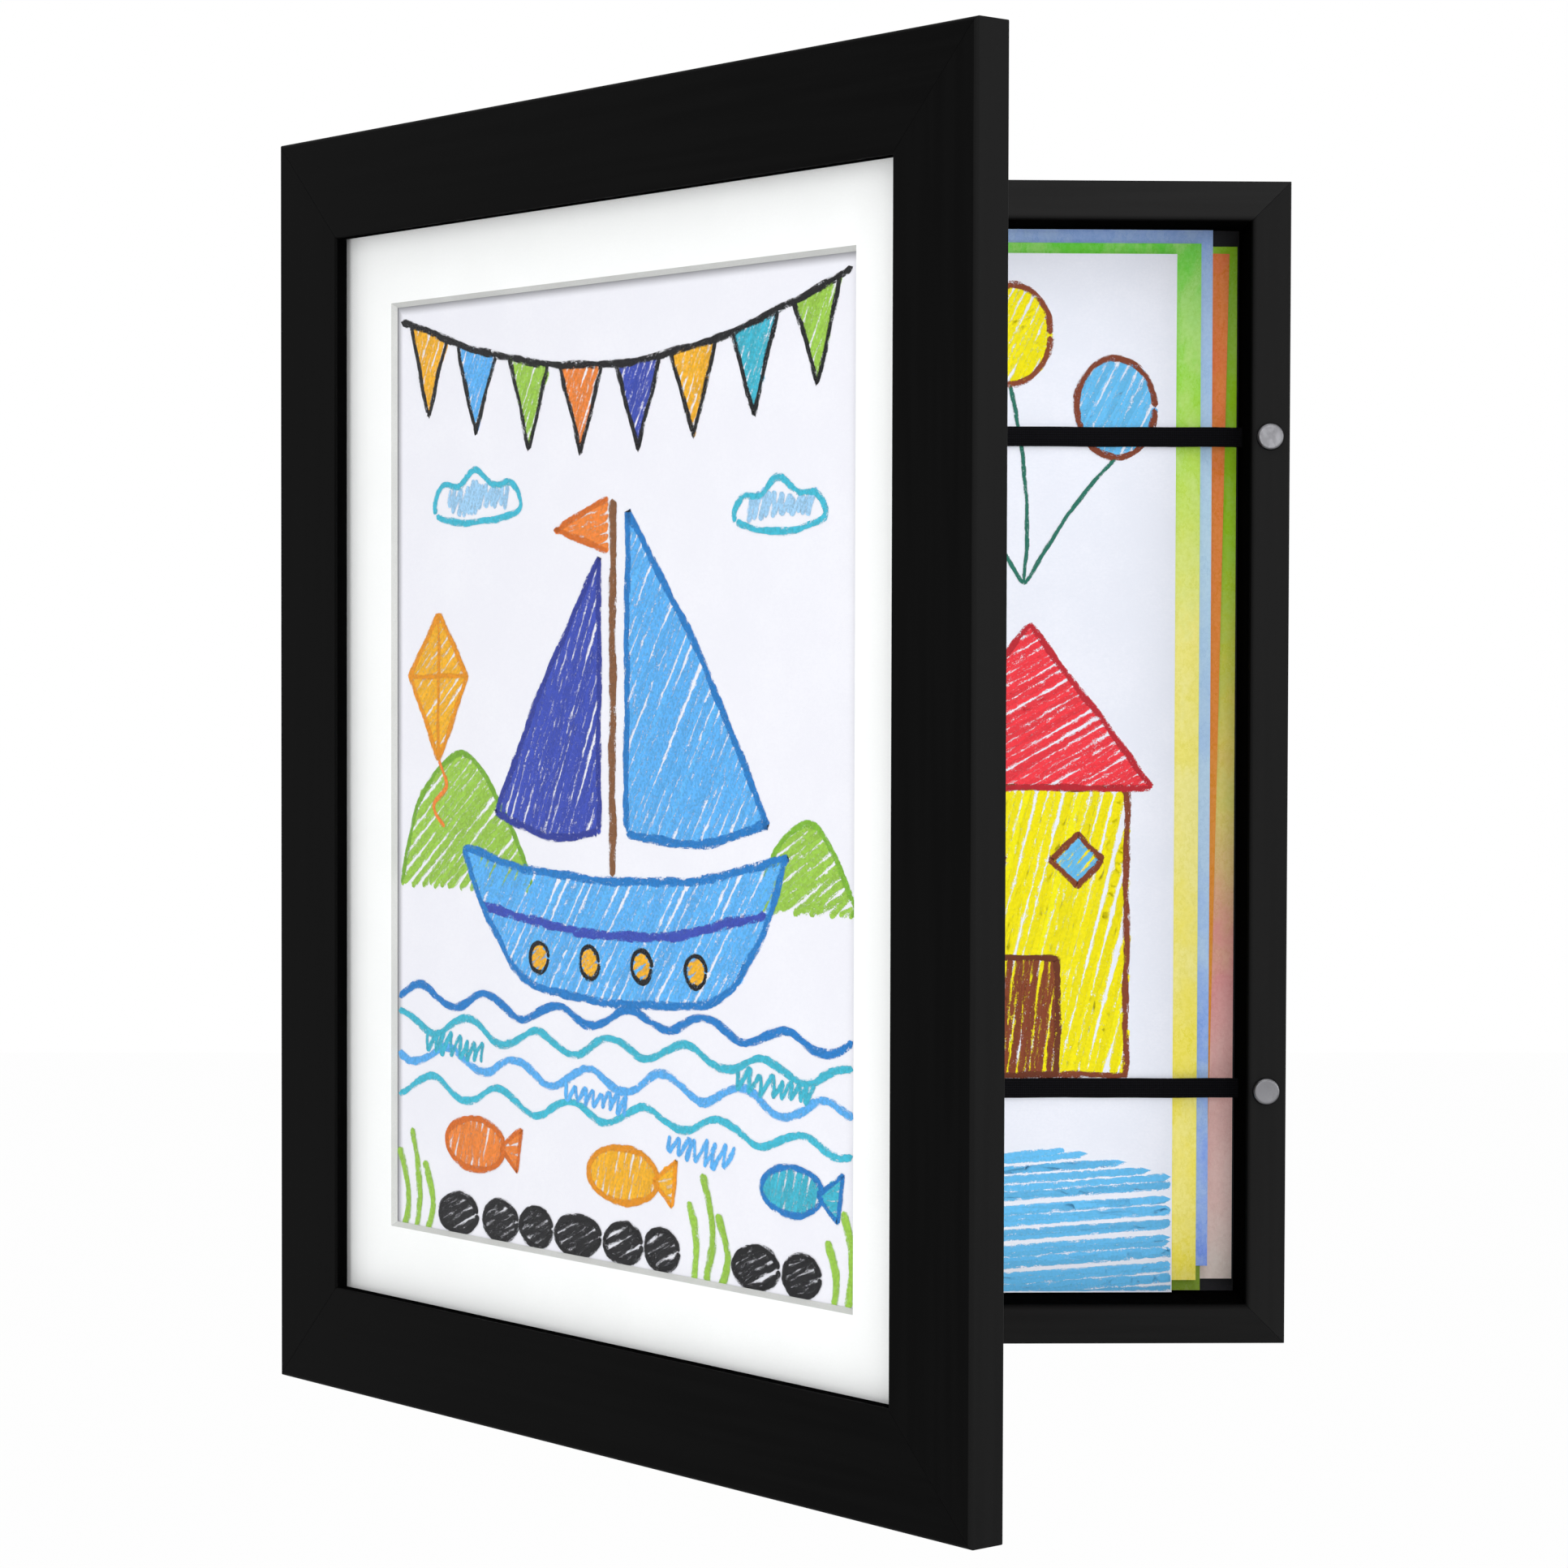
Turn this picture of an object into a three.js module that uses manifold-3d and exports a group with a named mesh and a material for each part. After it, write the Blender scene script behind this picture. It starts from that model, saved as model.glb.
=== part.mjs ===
// Children's art frame: a mitred picture-frame door hinged on a shallow storage box.
// Millimetres. X runs to the viewer's right, Y away from the viewer into the wall, Z up.
// The origin is the middle of the bottom wall's back edge, where the frame bears on the wall.
import * as THREE from "three";
import { mergeVertices } from "three/addons/utils/BufferGeometryUtils.js";
import Module from "manifold-3d";

const wasm = await Module();
wasm.setup();

// Layers held in the door, front to back
const glassWidth = 254;
const glassHeight = 317.5;
const glassThickness = 2;
const matThickness = 1.4;
const matBorder = 25.4;
const windowCover = 6.2;
const pictureThickness = 0.3;
const backingThickness = 2.3;
const layerGap = 0.2;
const glazingClearance = 0.4;

// Door moulding
const mouldingWidth = 30;
const lipWidth = 6;
const lipThickness = 4;
const doorArris = 1.1;
const lipArris = 0.8;
const mitreGap = 0.2;

// Storage box
const doorOverhang = 8;
const wallThickness = 12;
const wallArris = 0.6;
const cavityDepth = 26;
const rearRecess = 5.4;
const panelThickness = 2.5;
const panelRabbet = 5;
const panelClearance = 0.3;

// Stored sheets, fanned against the back panel
const storedSideRoom = 21.8;
const storedEndRoom = 8.8;
const storedThickness = 1.2;
const storedGap = 0.1;
// Each sheet's size as a share of the full sheet, its distance from the right wall and from the
// top as shares of the room it has there, and its lean as a share of a turn, front sheet first.
const storedSheetShares = [
  { width: 1, height: 1, right: 0.92, top: 0.91, lean: 0 },
  { width: 1, height: 1, right: 0.57, top: 0.52, lean: 0 },
  { width: 1, height: 1, right: 0.4, top: 0.04, lean: 0 },
  { width: 0.9, height: 0.88, right: 0.235, top: 0.985, lean: 0 },
  { width: 0.95, height: 0.96, right: 0.115, top: 0.17, lean: 0.003 },
  { width: 1, height: 1, right: 0.03, top: 0.56, lean: 0 },
];

// Elastic straps across the stored sheets
const strapWidth = 6;
const strapThickness = 1;
const strapSpacing = 199;
const strapTail = 6;
const strapClearance = 0.2;

// Magnets in the box and steel discs in the door
const magnetRadius = 4;
const magnetLength = 5;
const magnetAirGap = 0.4;
const magnetSpacing = 197.4;
const magnetRim = 0.7;
const discLength = 2.2;
const discClearance = 0.15;

// Butt hinges
const hingeHeight = 38;
const hingeEnd = 60;
const leafThickness = 1;
const leafEdge = 1.6;
const leafAirGap = 0.4;
const leafSeat = 0.1;
const knuckleRadius = 1.8;
const pinRadius = 0.9;
const pinClearance = 0.1;
const pinHead = 0.8;
const barrelWallGap = 0.8;
const barrelClearance = 0.4;
const knuckleCount = 5;
const knuckleGap = 0.2;
const hingeScrewEnd = 7;
const doorOpenDegrees = 51.5;

// Countersunk screws of the hinges
const leafScrewRadius = 1;
const leafScrewHead = 1.9;
const leafScrewLength = 7;
const leafScrewSink = 0.1;
const screwClearance = 0.1;
const screwPoint = 1.6;

// Turn buttons that keep the backing board in
const buttonThickness = 0.8;
const buttonRoot = 2.6;
const buttonTip = 1.6;
const buttonReach = 9;
const buttonSpacing = 120;
const buttonEdge = 0.3;
const buttonGap = 0.1;
const buttonScrewRadius = 1;
const buttonScrewHead = 1.9;
const buttonScrewCap = 0.9;
const buttonScrewLength = 7;

// Sawtooth hangers on the back edges
const hangerLength = 44;
const hangerWidth = 10;
const hangerThickness = 1;
const hangerSeatWidth = 4.6;
const hangerPocketSpare = 0.2;
const hangerPocketRoom = 0.3;
const hangerCorner = 1.5;
const toothCount = 9;
const toothDepth = 1.5;
const nailEnd = 4;
const nailRadius = 0.7;
const nailHead = 1.5;
const nailHeadThickness = 0.6;
const nailLength = 9;

const overrun = 1;
const seatGap = 0.1;
const arcSteps = 6;
const roundSides = 24;
const barrelSides = 16;
const smallSides = 12;

// Sizes that follow from the ones above
const doorThickness = lipThickness + glassThickness + matThickness + pictureThickness
  + backingThickness + 5 * layerGap;
const sightWidth = glassWidth + 2 * glazingClearance - 2 * lipWidth;
const sightHeight = glassHeight + 2 * glazingClearance - 2 * lipWidth;
const windowWidth = glassWidth - 2 * matBorder;
const windowHeight = glassHeight - 2 * matBorder;
const doorWidth = sightWidth + 2 * mouldingWidth;
const doorHeight = sightHeight + 2 * mouldingWidth;
const doorGap = 2 * (leafSeat + leafThickness) + leafAirGap;
const boxWidth = doorWidth - 2 * doorOverhang;
const boxHeight = doorHeight - 2 * doorOverhang;
const cavityWidth = boxWidth - 2 * wallThickness;
const cavityHeight = boxHeight - 2 * wallThickness;
const panelFront = cavityDepth + seatGap;
const boxDepth = panelFront + panelThickness + rearRecess;
const backEdge = wallThickness - panelRabbet;
const matBevel = matThickness;
const glassFront = lipThickness + layerGap;
const matFront = glassFront + glassThickness + layerGap;
const pictureFront = matFront + matThickness + layerGap;
const backingFront = pictureFront + pictureThickness + layerGap;
const barrelSetOut = knuckleRadius + barrelWallGap;
const leafReach = barrelSetOut + wallThickness - leafEdge;
const hingeSpacing = boxHeight - 2 * hingeEnd;
const hingeScrewSpacing = hingeHeight - 2 * hingeScrewEnd;
const hingeX = -boxWidth / 2 - barrelSetOut;
const hingeY = -doorGap / 2;
const strapBack = panelFront - storedSheetShares.length * (storedThickness + storedGap) - seatGap;
const magnetProud = (doorGap - magnetAirGap) / 2;
const buttonInset = mouldingWidth - lipWidth - buttonRoot - buttonEdge;
const leafScrewU = (leafReach - barrelSetOut) / 2;
const nailU = hangerSeatWidth / 2;
const nailSpacing = hangerLength - 2 * nailEnd;
const hangerPocketDepth = hangerThickness + nailHeadThickness + 2 * seatGap + hangerPocketSpare;

// Colours read from the object, with roughness and metalness
const finishes = {
  black: { color: 0x1a1a1b, roughness: 0.45, metalness: 0 },
  panel: { color: 0x202021, roughness: 0.8, metalness: 0 },
  silver: { color: 0x9a9a9a, roughness: 0.3, metalness: 1 },
  steel: { color: 0x8c8c8e, roughness: 0.35, metalness: 1 },
  elastic: { color: 0x0c0c10, roughness: 0.9, metalness: 0 },
  glass: { color: 0xf6f8f8, roughness: 0.05, metalness: 0, transparent: true, opacity: 0.2 },
  mat: { color: 0xfcfcfc, roughness: 0.9, metalness: 0 },
  picture: { color: 0xf2f1f8, roughness: 0.8, metalness: 0 },
  board: { color: 0x4a4038, roughness: 0.9, metalness: 0 },
};
const storedColours = [0xdde0ea, 0xf0e63c, 0x6c87ee, 0x8a9a3a, 0xff9522, 0x8b4a33];

// Joins and cuts

function toSolid(geometry) {
  const bare = geometry.clone();
  bare.deleteAttribute("normal");
  bare.deleteAttribute("uv");
  const merged = mergeVertices(bare);
  return new wasm.Manifold(new wasm.Mesh({
    numProp: 3,
    vertProperties: Float32Array.from(merged.attributes.position.array),
    triVerts: Uint32Array.from(merged.index.array),
  }));
}

function toGeometry(solid) {
  const data = solid.getMesh();
  const geometry = new THREE.BufferGeometry();
  geometry.setAttribute("position", new THREE.BufferAttribute(data.vertProperties, 3));
  geometry.setIndex(new THREE.BufferAttribute(data.triVerts, 1));
  geometry.computeVertexNormals();
  return geometry;
}

function cut(geometry, cutters) {
  let solid = toSolid(geometry);
  for (const cutter of cutters) solid = solid.subtract(toSolid(cutter));
  return toGeometry(solid);
}

function join(geometries) {
  let solid = toSolid(geometries[0]);
  for (const geometry of geometries.slice(1)) solid = solid.add(toSolid(geometry));
  return toGeometry(solid);
}

// Basic forms. A box is given by its low and high corners, a rod runs along Y.

function block(low, high) {
  const size = high.map((value, axis) => value - low[axis]);
  const middle = high.map((value, axis) => (value + low[axis]) / 2);
  return new THREE.BoxGeometry(...size).translate(...middle);
}

function rod(radius, from, to, x, z, sides = smallSides) {
  return new THREE.CylinderGeometry(radius, radius, to - from, sides).translate(x, (from + to) / 2, z);
}

function revolve(points, sides) {
  return new THREE.LatheGeometry(points.map(([radius, height]) => new THREE.Vector2(radius, height)), sides);
}

function extrude(shape, length, curveSegments = arcSteps) {
  return new THREE.ExtrudeGeometry(shape, { depth: length, bevelEnabled: false, curveSegments });
}

function addMesh(group, name, geometry, finish) {
  const mesh = new THREE.Mesh(geometry, new THREE.MeshStandardMaterial(finish));
  mesh.name = name;
  group.add(mesh);
  return mesh;
}

// Mitred frames. A side is drawn as the left one: x runs inward from its outer edge, y back from
// its front face and z along it from its middle. Turning it about Y gives the other three sides.

const turns = { left: 0, top: Math.PI / 2, right: Math.PI, bottom: -Math.PI / 2 };

function mitredSide(profile, length) {
  const geometry = extrude(profile, length).translate(0, 0, -length / 2);
  const position = geometry.attributes.position;
  for (let i = 0; i < position.count; i += 1) {
    const end = Math.sign(position.getZ(i));
    position.setZ(i, end * (length / 2 - position.getX(i) - mitreGap / 2));
  }
  geometry.computeVertexNormals();
  return geometry;
}

function placeSide(mesh, side, width, height) {
  const edge = { left: -width / 2, right: width / 2, top: height / 2, bottom: -height / 2 }[side];
  mesh.rotation.y = turns[side];
  if (side === "left" || side === "right") mesh.position.x = edge;
  else mesh.position.z = edge;
}

// The door's moulding: an eased outer arris and lip, and the rabbet that holds the layers
function mouldingProfile() {
  const rabbetEdge = mouldingWidth - lipWidth;
  const profile = new THREE.Shape();
  profile.moveTo(doorArris, 0);
  profile.absarc(mouldingWidth - lipArris, lipArris, lipArris, 1.5 * Math.PI, 2 * Math.PI, false);
  profile.lineTo(mouldingWidth, lipThickness);
  profile.lineTo(rabbetEdge, lipThickness);
  profile.lineTo(rabbetEdge, doorThickness);
  profile.lineTo(wallArris, doorThickness);
  profile.lineTo(0, doorThickness - wallArris);
  profile.lineTo(0, doorArris);
  profile.absarc(doorArris, doorArris, doorArris, Math.PI, 1.5 * Math.PI, false);
  return profile;
}

// The box's wall: eased front arrises and the rabbet that takes the back panel
function wallProfile() {
  const profile = new THREE.Shape();
  profile.moveTo(wallArris, 0);
  profile.absarc(wallThickness - wallArris, wallArris, wallArris, 1.5 * Math.PI, 2 * Math.PI, false);
  profile.lineTo(wallThickness, cavityDepth);
  profile.lineTo(backEdge, cavityDepth);
  profile.lineTo(backEdge, boxDepth);
  profile.lineTo(0, boxDepth);
  profile.absarc(wallArris, wallArris, wallArris, Math.PI, 1.5 * Math.PI, false);
  return profile;
}

// Box

function strapSlots() {
  const half = strapWidth / 2 + strapClearance;
  return [-1, 1].map((end) => block(
    [wallThickness - strapTail - strapClearance, strapBack - strapThickness - strapClearance,
      end * strapSpacing / 2 - half],
    [wallThickness + overrun, strapBack + strapClearance, end * strapSpacing / 2 + half],
  ));
}

function magnetSockets() {
  const depth = magnetLength - magnetProud + discClearance;
  return [-1, 1].map((end) => rod(magnetRadius + discClearance, -overrun, depth,
    wallThickness / 2, end * magnetSpacing / 2, roundSides));
}

// Pilot holes for the hinge screws, at a distance u from the side's outer edge
function hingePilots(u, from, to) {
  const holes = [];
  for (const hinge of [-1, 1]) {
    for (const screw of [-1, 1]) {
      const z = hinge * hingeSpacing / 2 + screw * hingeScrewSpacing / 2;
      holes.push(rod(leafScrewRadius + screwClearance, from, to, u, z));
    }
  }
  return holes;
}

// The pocket that a hanger lies in, open towards the rear recess, with its two nail holes
function hangerCuts() {
  const half = hangerLength / 2 + hangerPocketRoom;
  const floor = boxDepth - hangerPocketDepth;
  const pocket = block([backEdge - hangerSeatWidth - hangerPocketRoom, floor, -half],
    [backEdge + overrun, boxDepth + overrun, half]);
  const holes = [-1, 1].map((end) => rod(nailRadius + screwClearance, floor - nailLength,
    floor + overrun, backEdge - nailU, end * nailSpacing / 2));
  return [pocket, ...holes];
}

function buildWalls(group) {
  const pilotEnd = leafScrewLength + screwClearance;
  const sides = [
    ["wall_left", "left", boxHeight, [...strapSlots(), ...hangerCuts(),
      ...hingePilots(leafScrewU, -overrun, pilotEnd)]],
    ["wall_right", "right", boxHeight, [...strapSlots(), ...magnetSockets()]],
    ["wall_top", "top", boxWidth, hangerCuts()],
    ["wall_bottom", "bottom", boxWidth, []],
  ];
  for (const [name, side, length, cutters] of sides) {
    const wall = cut(mitredSide(wallProfile(), length), cutters);
    placeSide(addMesh(group, name, wall, finishes.black), side, boxWidth, boxHeight);
  }
}

function buildPanel(group) {
  const width = boxWidth - 2 * backEdge - 2 * panelClearance;
  const height = boxHeight - 2 * backEdge - 2 * panelClearance;
  const panel = block([-width / 2, panelFront, -height / 2],
    [width / 2, panelFront + panelThickness, height / 2]);
  addMesh(group, "back_panel", panel, finishes.panel);
}

function buildStoredSheets(group) {
  const fullWidth = cavityWidth - storedSideRoom;
  const fullHeight = cavityHeight - storedEndRoom;
  storedSheetShares.forEach((share, index) => {
    const width = share.width * fullWidth;
    const height = share.height * fullHeight;
    const lean = share.lean * 2 * Math.PI;
    const spanX = width * Math.cos(lean) + height * Math.sin(lean);
    const spanZ = height * Math.cos(lean) + width * Math.sin(lean);
    const sheet = addMesh(group, `stored_sheet_${index + 1}`,
      new THREE.BoxGeometry(width, storedThickness, height), { color: storedColours[index], roughness: 0.9 });
    sheet.rotation.y = lean;
    sheet.position.set(
      cavityWidth / 2 - spanX / 2 - share.right * (cavityWidth - spanX),
      strapBack + seatGap + (index + 0.5) * (storedThickness + storedGap) - storedGap / 2,
      cavityHeight / 2 - spanZ / 2 - share.top * (cavityHeight - spanZ),
    );
  });
}

function buildStraps(group) {
  const half = cavityWidth / 2 + strapTail;
  for (const [name, end] of [["strap_upper", 1], ["strap_lower", -1]]) {
    const outline = new THREE.Shape();
    const flank = strapThickness / 2;
    outline.absarc(strapWidth / 2 - flank, 0, flank, -Math.PI / 2, Math.PI / 2, false);
    outline.absarc(flank - strapWidth / 2, 0, flank, Math.PI / 2, 1.5 * Math.PI, false);
    const strap = addMesh(group, name, extrude(outline, 2 * half).translate(0, 0, -half), finishes.elastic);
    strap.rotation.y = Math.PI / 2;
    strap.position.set(0, strapBack - flank, end * strapSpacing / 2);
  }
}

// A round piece that sits in a socket, with its face at y = 0 and a rounded rim
function discGeometry(length) {
  const points = [[0, 0]];
  for (let step = 0; step <= arcSteps; step += 1) {
    const angle = (step / arcSteps) * Math.PI / 2;
    points.push([magnetRadius - magnetRim + magnetRim * Math.sin(angle), magnetRim * (1 - Math.cos(angle))]);
  }
  points.push([magnetRadius, length], [0, length]);
  return revolve(points, roundSides);
}

function buildMagnets(group) {
  for (const [name, end] of [["magnet_upper", 1], ["magnet_lower", -1]]) {
    const magnet = addMesh(group, name, discGeometry(magnetLength), finishes.silver);
    magnet.position.set(boxWidth / 2 - wallThickness / 2, -magnetProud, end * magnetSpacing / 2);
  }
}

// A sawtooth hanger in its side's own frame: a plate with teeth along its inward edge
function hangerGeometry() {
  const half = hangerLength / 2;
  const outline = new THREE.Shape();
  const inner = hangerWidth - hangerSeatWidth;
  outline.moveTo(-hangerSeatWidth, hangerCorner - half);
  outline.absarc(hangerCorner - hangerSeatWidth, hangerCorner - half, hangerCorner,
    Math.PI, 1.5 * Math.PI, false);
  outline.absarc(inner - hangerCorner, hangerCorner - half, hangerCorner, -Math.PI / 2, 0, false);
  const pitch = (hangerLength - 4 * hangerCorner) / toothCount;
  for (let tooth = 0; tooth < toothCount; tooth += 1) {
    const start = 2 * hangerCorner - half + tooth * pitch;
    outline.lineTo(inner, start);
    outline.lineTo(inner - toothDepth, start + pitch / 2);
  }
  outline.lineTo(inner, half - 2 * hangerCorner);
  outline.absarc(inner - hangerCorner, half - hangerCorner, hangerCorner, 0, Math.PI / 2, false);
  outline.absarc(hangerCorner - hangerSeatWidth, half - hangerCorner, hangerCorner,
    Math.PI / 2, Math.PI, false);
  for (const end of [-1, 1]) {
    const hole = new THREE.Path();
    hole.absarc(-nailU, end * nailSpacing / 2, nailRadius + screwClearance, 0, 2 * Math.PI, true);
    outline.holes.push(hole);
  }
  const back = boxDepth - hangerPocketDepth + seatGap + hangerThickness;
  return extrude(outline, hangerThickness, 3).rotateX(Math.PI / 2).translate(backEdge, back, 0);
}

// A nail with its head at the back, its point towards the front
function nailGeometry() {
  return revolve([
    [0, -nailLength], [nailRadius, -nailLength + screwPoint], [nailRadius, 0], [nailHead, 0],
    [nailHead, nailHeadThickness], [0, nailHeadThickness],
  ], smallSides);
}

function buildHangers(group) {
  const headSeat = boxDepth - hangerPocketDepth + hangerThickness + 2 * seatGap;
  for (const [label, side] of [["portrait", "top"], ["landscape", "left"]]) {
    const holder = new THREE.Group();
    placeSide(holder, side, boxWidth, boxHeight);
    addMesh(holder, `hanger_${label}`, hangerGeometry(), finishes.steel);
    for (const end of [1, 2]) {
      const nail = addMesh(holder, `hanger_nail_${label}_${end}`, nailGeometry(), finishes.steel);
      nail.position.set(backEdge - nailU, headSeat, (2 * end - 3) * nailSpacing / 2);
    }
    group.add(holder);
  }
}

// Hinges. Each leaf is drawn about the pin, with its plate along +X on the +Y side.

function knuckleSpans(first) {
  const pitch = hingeHeight / knuckleCount;
  const spans = [];
  for (let index = first; index < knuckleCount; index += 2) {
    const low = -hingeHeight / 2 + index * pitch + (index > 0 ? knuckleGap / 2 : 0);
    const high = -hingeHeight / 2 + (index + 1) * pitch - (index < knuckleCount - 1 ? knuckleGap / 2 : 0);
    spans.push([low, high]);
  }
  return spans;
}

// The knuckle's outline: the barrel round its bore, running tangentially into the plate
function knuckleShape(plateLow, plateHigh) {
  const outline = new THREE.Shape();
  const lowAngle = Math.asin(plateLow / knuckleRadius);
  const highAngle = Math.asin(plateHigh / knuckleRadius);
  outline.absarc(0, 0, knuckleRadius, highAngle, lowAngle + 2 * Math.PI, false);
  outline.lineTo(knuckleRadius + barrelClearance + overrun, plateLow);
  outline.lineTo(knuckleRadius + barrelClearance + overrun, plateHigh);
  const bore = new THREE.Path();
  bore.absarc(0, 0, pinRadius + pinClearance, 0, 2 * Math.PI, true);
  outline.holes.push(bore);
  return outline;
}

function countersink(face, z) {
  const headRadius = leafScrewHead + screwClearance;
  const shankRadius = leafScrewRadius + screwClearance;
  return revolve([
    [0, face - leafThickness - overrun], [shankRadius, face - leafThickness - overrun],
    [shankRadius, face - leafScrewSink - (headRadius - shankRadius)],
    [headRadius, face - leafScrewSink], [headRadius, face + overrun], [0, face + overrun],
  ], smallSides).translate(leafReach - leafScrewU, 0, z);
}

// A leaf whose screw heads face the other leaf, which is towards -Y here
function leafGeometry(firstKnuckle) {
  const plateHigh = doorGap / 2 - leafSeat;
  const plateLow = plateHigh - leafThickness;
  const plate = block([knuckleRadius + barrelClearance, plateLow, -hingeHeight / 2],
    [leafReach, plateHigh, hingeHeight / 2]);
  const knuckles = knuckleSpans(firstKnuckle).map(([low, high]) => extrude(
    knuckleShape(plateLow, plateHigh), high - low, barrelSides).translate(0, 0, low));
  const holes = [-1, 1].map((end) => countersink(-plateLow, end * hingeScrewSpacing / 2)
    .rotateX(Math.PI));
  return cut(join([plate, ...knuckles]), holes);
}

function leafScrewGeometry() {
  const coneLength = leafScrewHead - leafScrewRadius;
  return revolve([
    [0, 0], [leafScrewHead, 0], [leafScrewRadius, coneLength],
    [leafScrewRadius, leafScrewLength - screwPoint], [0, leafScrewLength],
  ], smallSides);
}

function pinGeometry() {
  const half = hingeHeight / 2;
  return revolve([
    [0, -half - pinHead], [knuckleRadius, -half - pinHead], [knuckleRadius, -half - seatGap],
    [pinRadius, -half - seatGap], [pinRadius, half], [0, half],
  ], barrelSides).rotateX(Math.PI / 2);
}

// One side of both hinges. The box's leaves face +Y and the door's are the same, turned over.
function buildLeaves(group, owner, firstKnuckle, turn) {
  const screwSeat = doorGap / 2 - leafSeat - leafThickness + leafScrewSink;
  for (const [label, end] of [["upper", 1], ["lower", -1]]) {
    const holder = new THREE.Group();
    holder.position.z = end * hingeSpacing / 2;
    const leaf = addMesh(holder, `hinge_leaf_${owner}_${label}`, leafGeometry(firstKnuckle), finishes.steel);
    leaf.rotation.x = turn;
    for (const screw of [1, 2]) {
      const name = `hinge_screw_${owner}_${label}_${screw}`;
      const mesh = addMesh(holder, name, leafScrewGeometry(), finishes.steel);
      const side = Math.cos(turn);
      mesh.rotation.x = turn;
      mesh.position.set(leafReach - leafScrewU, side * screwSeat, (2 * screw - 3) * hingeScrewSpacing / 2);
    }
    group.add(holder);
  }
}

function buildPins(group) {
  for (const [label, end] of [["upper", 1], ["lower", -1]]) {
    const pin = addMesh(group, `hinge_pin_${label}`, pinGeometry(), finishes.steel);
    pin.position.z = end * hingeSpacing / 2;
  }
}

// Door

// The groove in the hinge stile's back face that clears one hinge's barrel
function barrelGrooves() {
  const reach = knuckleRadius + barrelClearance;
  const middle = doorOverhang - barrelSetOut;
  const half = hingeHeight / 2 + pinHead + barrelClearance;
  return [-1, 1].map((end) => block(
    [middle - reach, doorThickness + doorGap / 2 - reach, end * hingeSpacing / 2 - half],
    [middle + reach, doorThickness + overrun, end * hingeSpacing / 2 + half],
  ));
}

function discSockets() {
  const depth = discLength - magnetProud + discClearance;
  return [-1, 1].map((end) => rod(magnetRadius + discClearance, doorThickness - depth,
    doorThickness + overrun, doorOverhang + wallThickness / 2, end * magnetSpacing / 2, roundSides));
}

function buttonPilots() {
  return [-1, 1].map((end) => rod(buttonScrewRadius + screwClearance,
    doorThickness - buttonScrewLength - screwClearance, doorThickness + overrun,
    buttonInset, end * buttonSpacing / 2));
}

function buildMoulding(group) {
  const screwU = doorOverhang - barrelSetOut + leafReach - leafScrewU;
  const pilotStart = doorThickness - leafScrewLength - screwClearance;
  const sides = [
    ["stile_hinge", "left", doorHeight, [...barrelGrooves(), ...buttonPilots(),
      ...hingePilots(screwU, pilotStart, doorThickness + overrun)]],
    ["stile_free", "right", doorHeight, [...discSockets(), ...buttonPilots()]],
    ["rail_top", "top", doorWidth, []],
    ["rail_bottom", "bottom", doorWidth, []],
  ];
  for (const [name, side, length, cutters] of sides) {
    const stick = cut(mitredSide(mouldingProfile(), length), cutters);
    placeSide(addMesh(group, name, stick, finishes.black), side, doorWidth, doorHeight);
  }
}

function layer(width, height, front, thickness) {
  return block([-width / 2, front, -height / 2], [width / 2, front + thickness, height / 2]);
}

// The mat board: its window is cut with a bevel that faces the viewer
function matGeometry() {
  const back = matFront + matThickness;
  const border = [[0, matFront], [matBorder, matFront], [matBorder + matBevel, back], [0, back]];
  const corners = [[-1, -1], [1, -1], [1, 1], [-1, 1]];
  const vertices = [];
  for (const [signX, signZ] of corners) {
    for (const [inward, y] of border) {
      vertices.push(signX * (glassWidth / 2 - inward), y, signZ * (glassHeight / 2 - inward));
    }
  }
  const count = border.length;
  const faces = [];
  for (let corner = 0; corner < corners.length; corner += 1) {
    const next = (corner + 1) % corners.length;
    for (let point = 0; point < count; point += 1) {
      const after = (point + 1) % count;
      const quad = [corner * count + point, next * count + point, next * count + after, corner * count + after];
      faces.push(quad[0], quad[1], quad[2], quad[0], quad[2], quad[3]);
    }
  }
  const geometry = new THREE.BufferGeometry();
  geometry.setAttribute("position", new THREE.Float32BufferAttribute(vertices, 3));
  geometry.setIndex(faces);
  geometry.computeVertexNormals();
  return geometry;
}

function buildLayers(group) {
  addMesh(group, "glass_pane", layer(glassWidth, glassHeight, glassFront, glassThickness), finishes.glass);
  addMesh(group, "mat_board", matGeometry(), finishes.mat);
  addMesh(group, "displayed_sheet", layer(windowWidth + 2 * windowCover, windowHeight + 2 * windowCover,
    pictureFront, pictureThickness), finishes.picture);
  addMesh(group, "backing_board", layer(glassWidth, glassHeight, backingFront, backingThickness),
    finishes.board);
}

function buildDiscs(group) {
  for (const [name, end] of [["strike_disc_upper", 1], ["strike_disc_lower", -1]]) {
    const disc = addMesh(group, name, discGeometry(discLength), finishes.silver);
    disc.rotation.x = Math.PI;
    disc.position.set(doorWidth / 2 - doorOverhang - wallThickness / 2, doorThickness + magnetProud,
      end * magnetSpacing / 2);
  }
}

// A turn button: a broad round root round its screw and a narrower round tip, joined by tangents
function buttonGeometry() {
  const slope = Math.acos((buttonRoot - buttonTip) / buttonReach);
  const outline = new THREE.Shape();
  outline.absarc(0, 0, buttonRoot, slope, 2 * Math.PI - slope, false);
  outline.absarc(buttonReach, 0, buttonTip, -slope, slope, false);
  const hole = new THREE.Path();
  hole.absarc(0, 0, buttonScrewRadius + screwClearance, 0, 2 * Math.PI, true);
  outline.holes.push(hole);
  return extrude(outline, buttonThickness, smallSides).rotateX(-Math.PI / 2);
}

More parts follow.
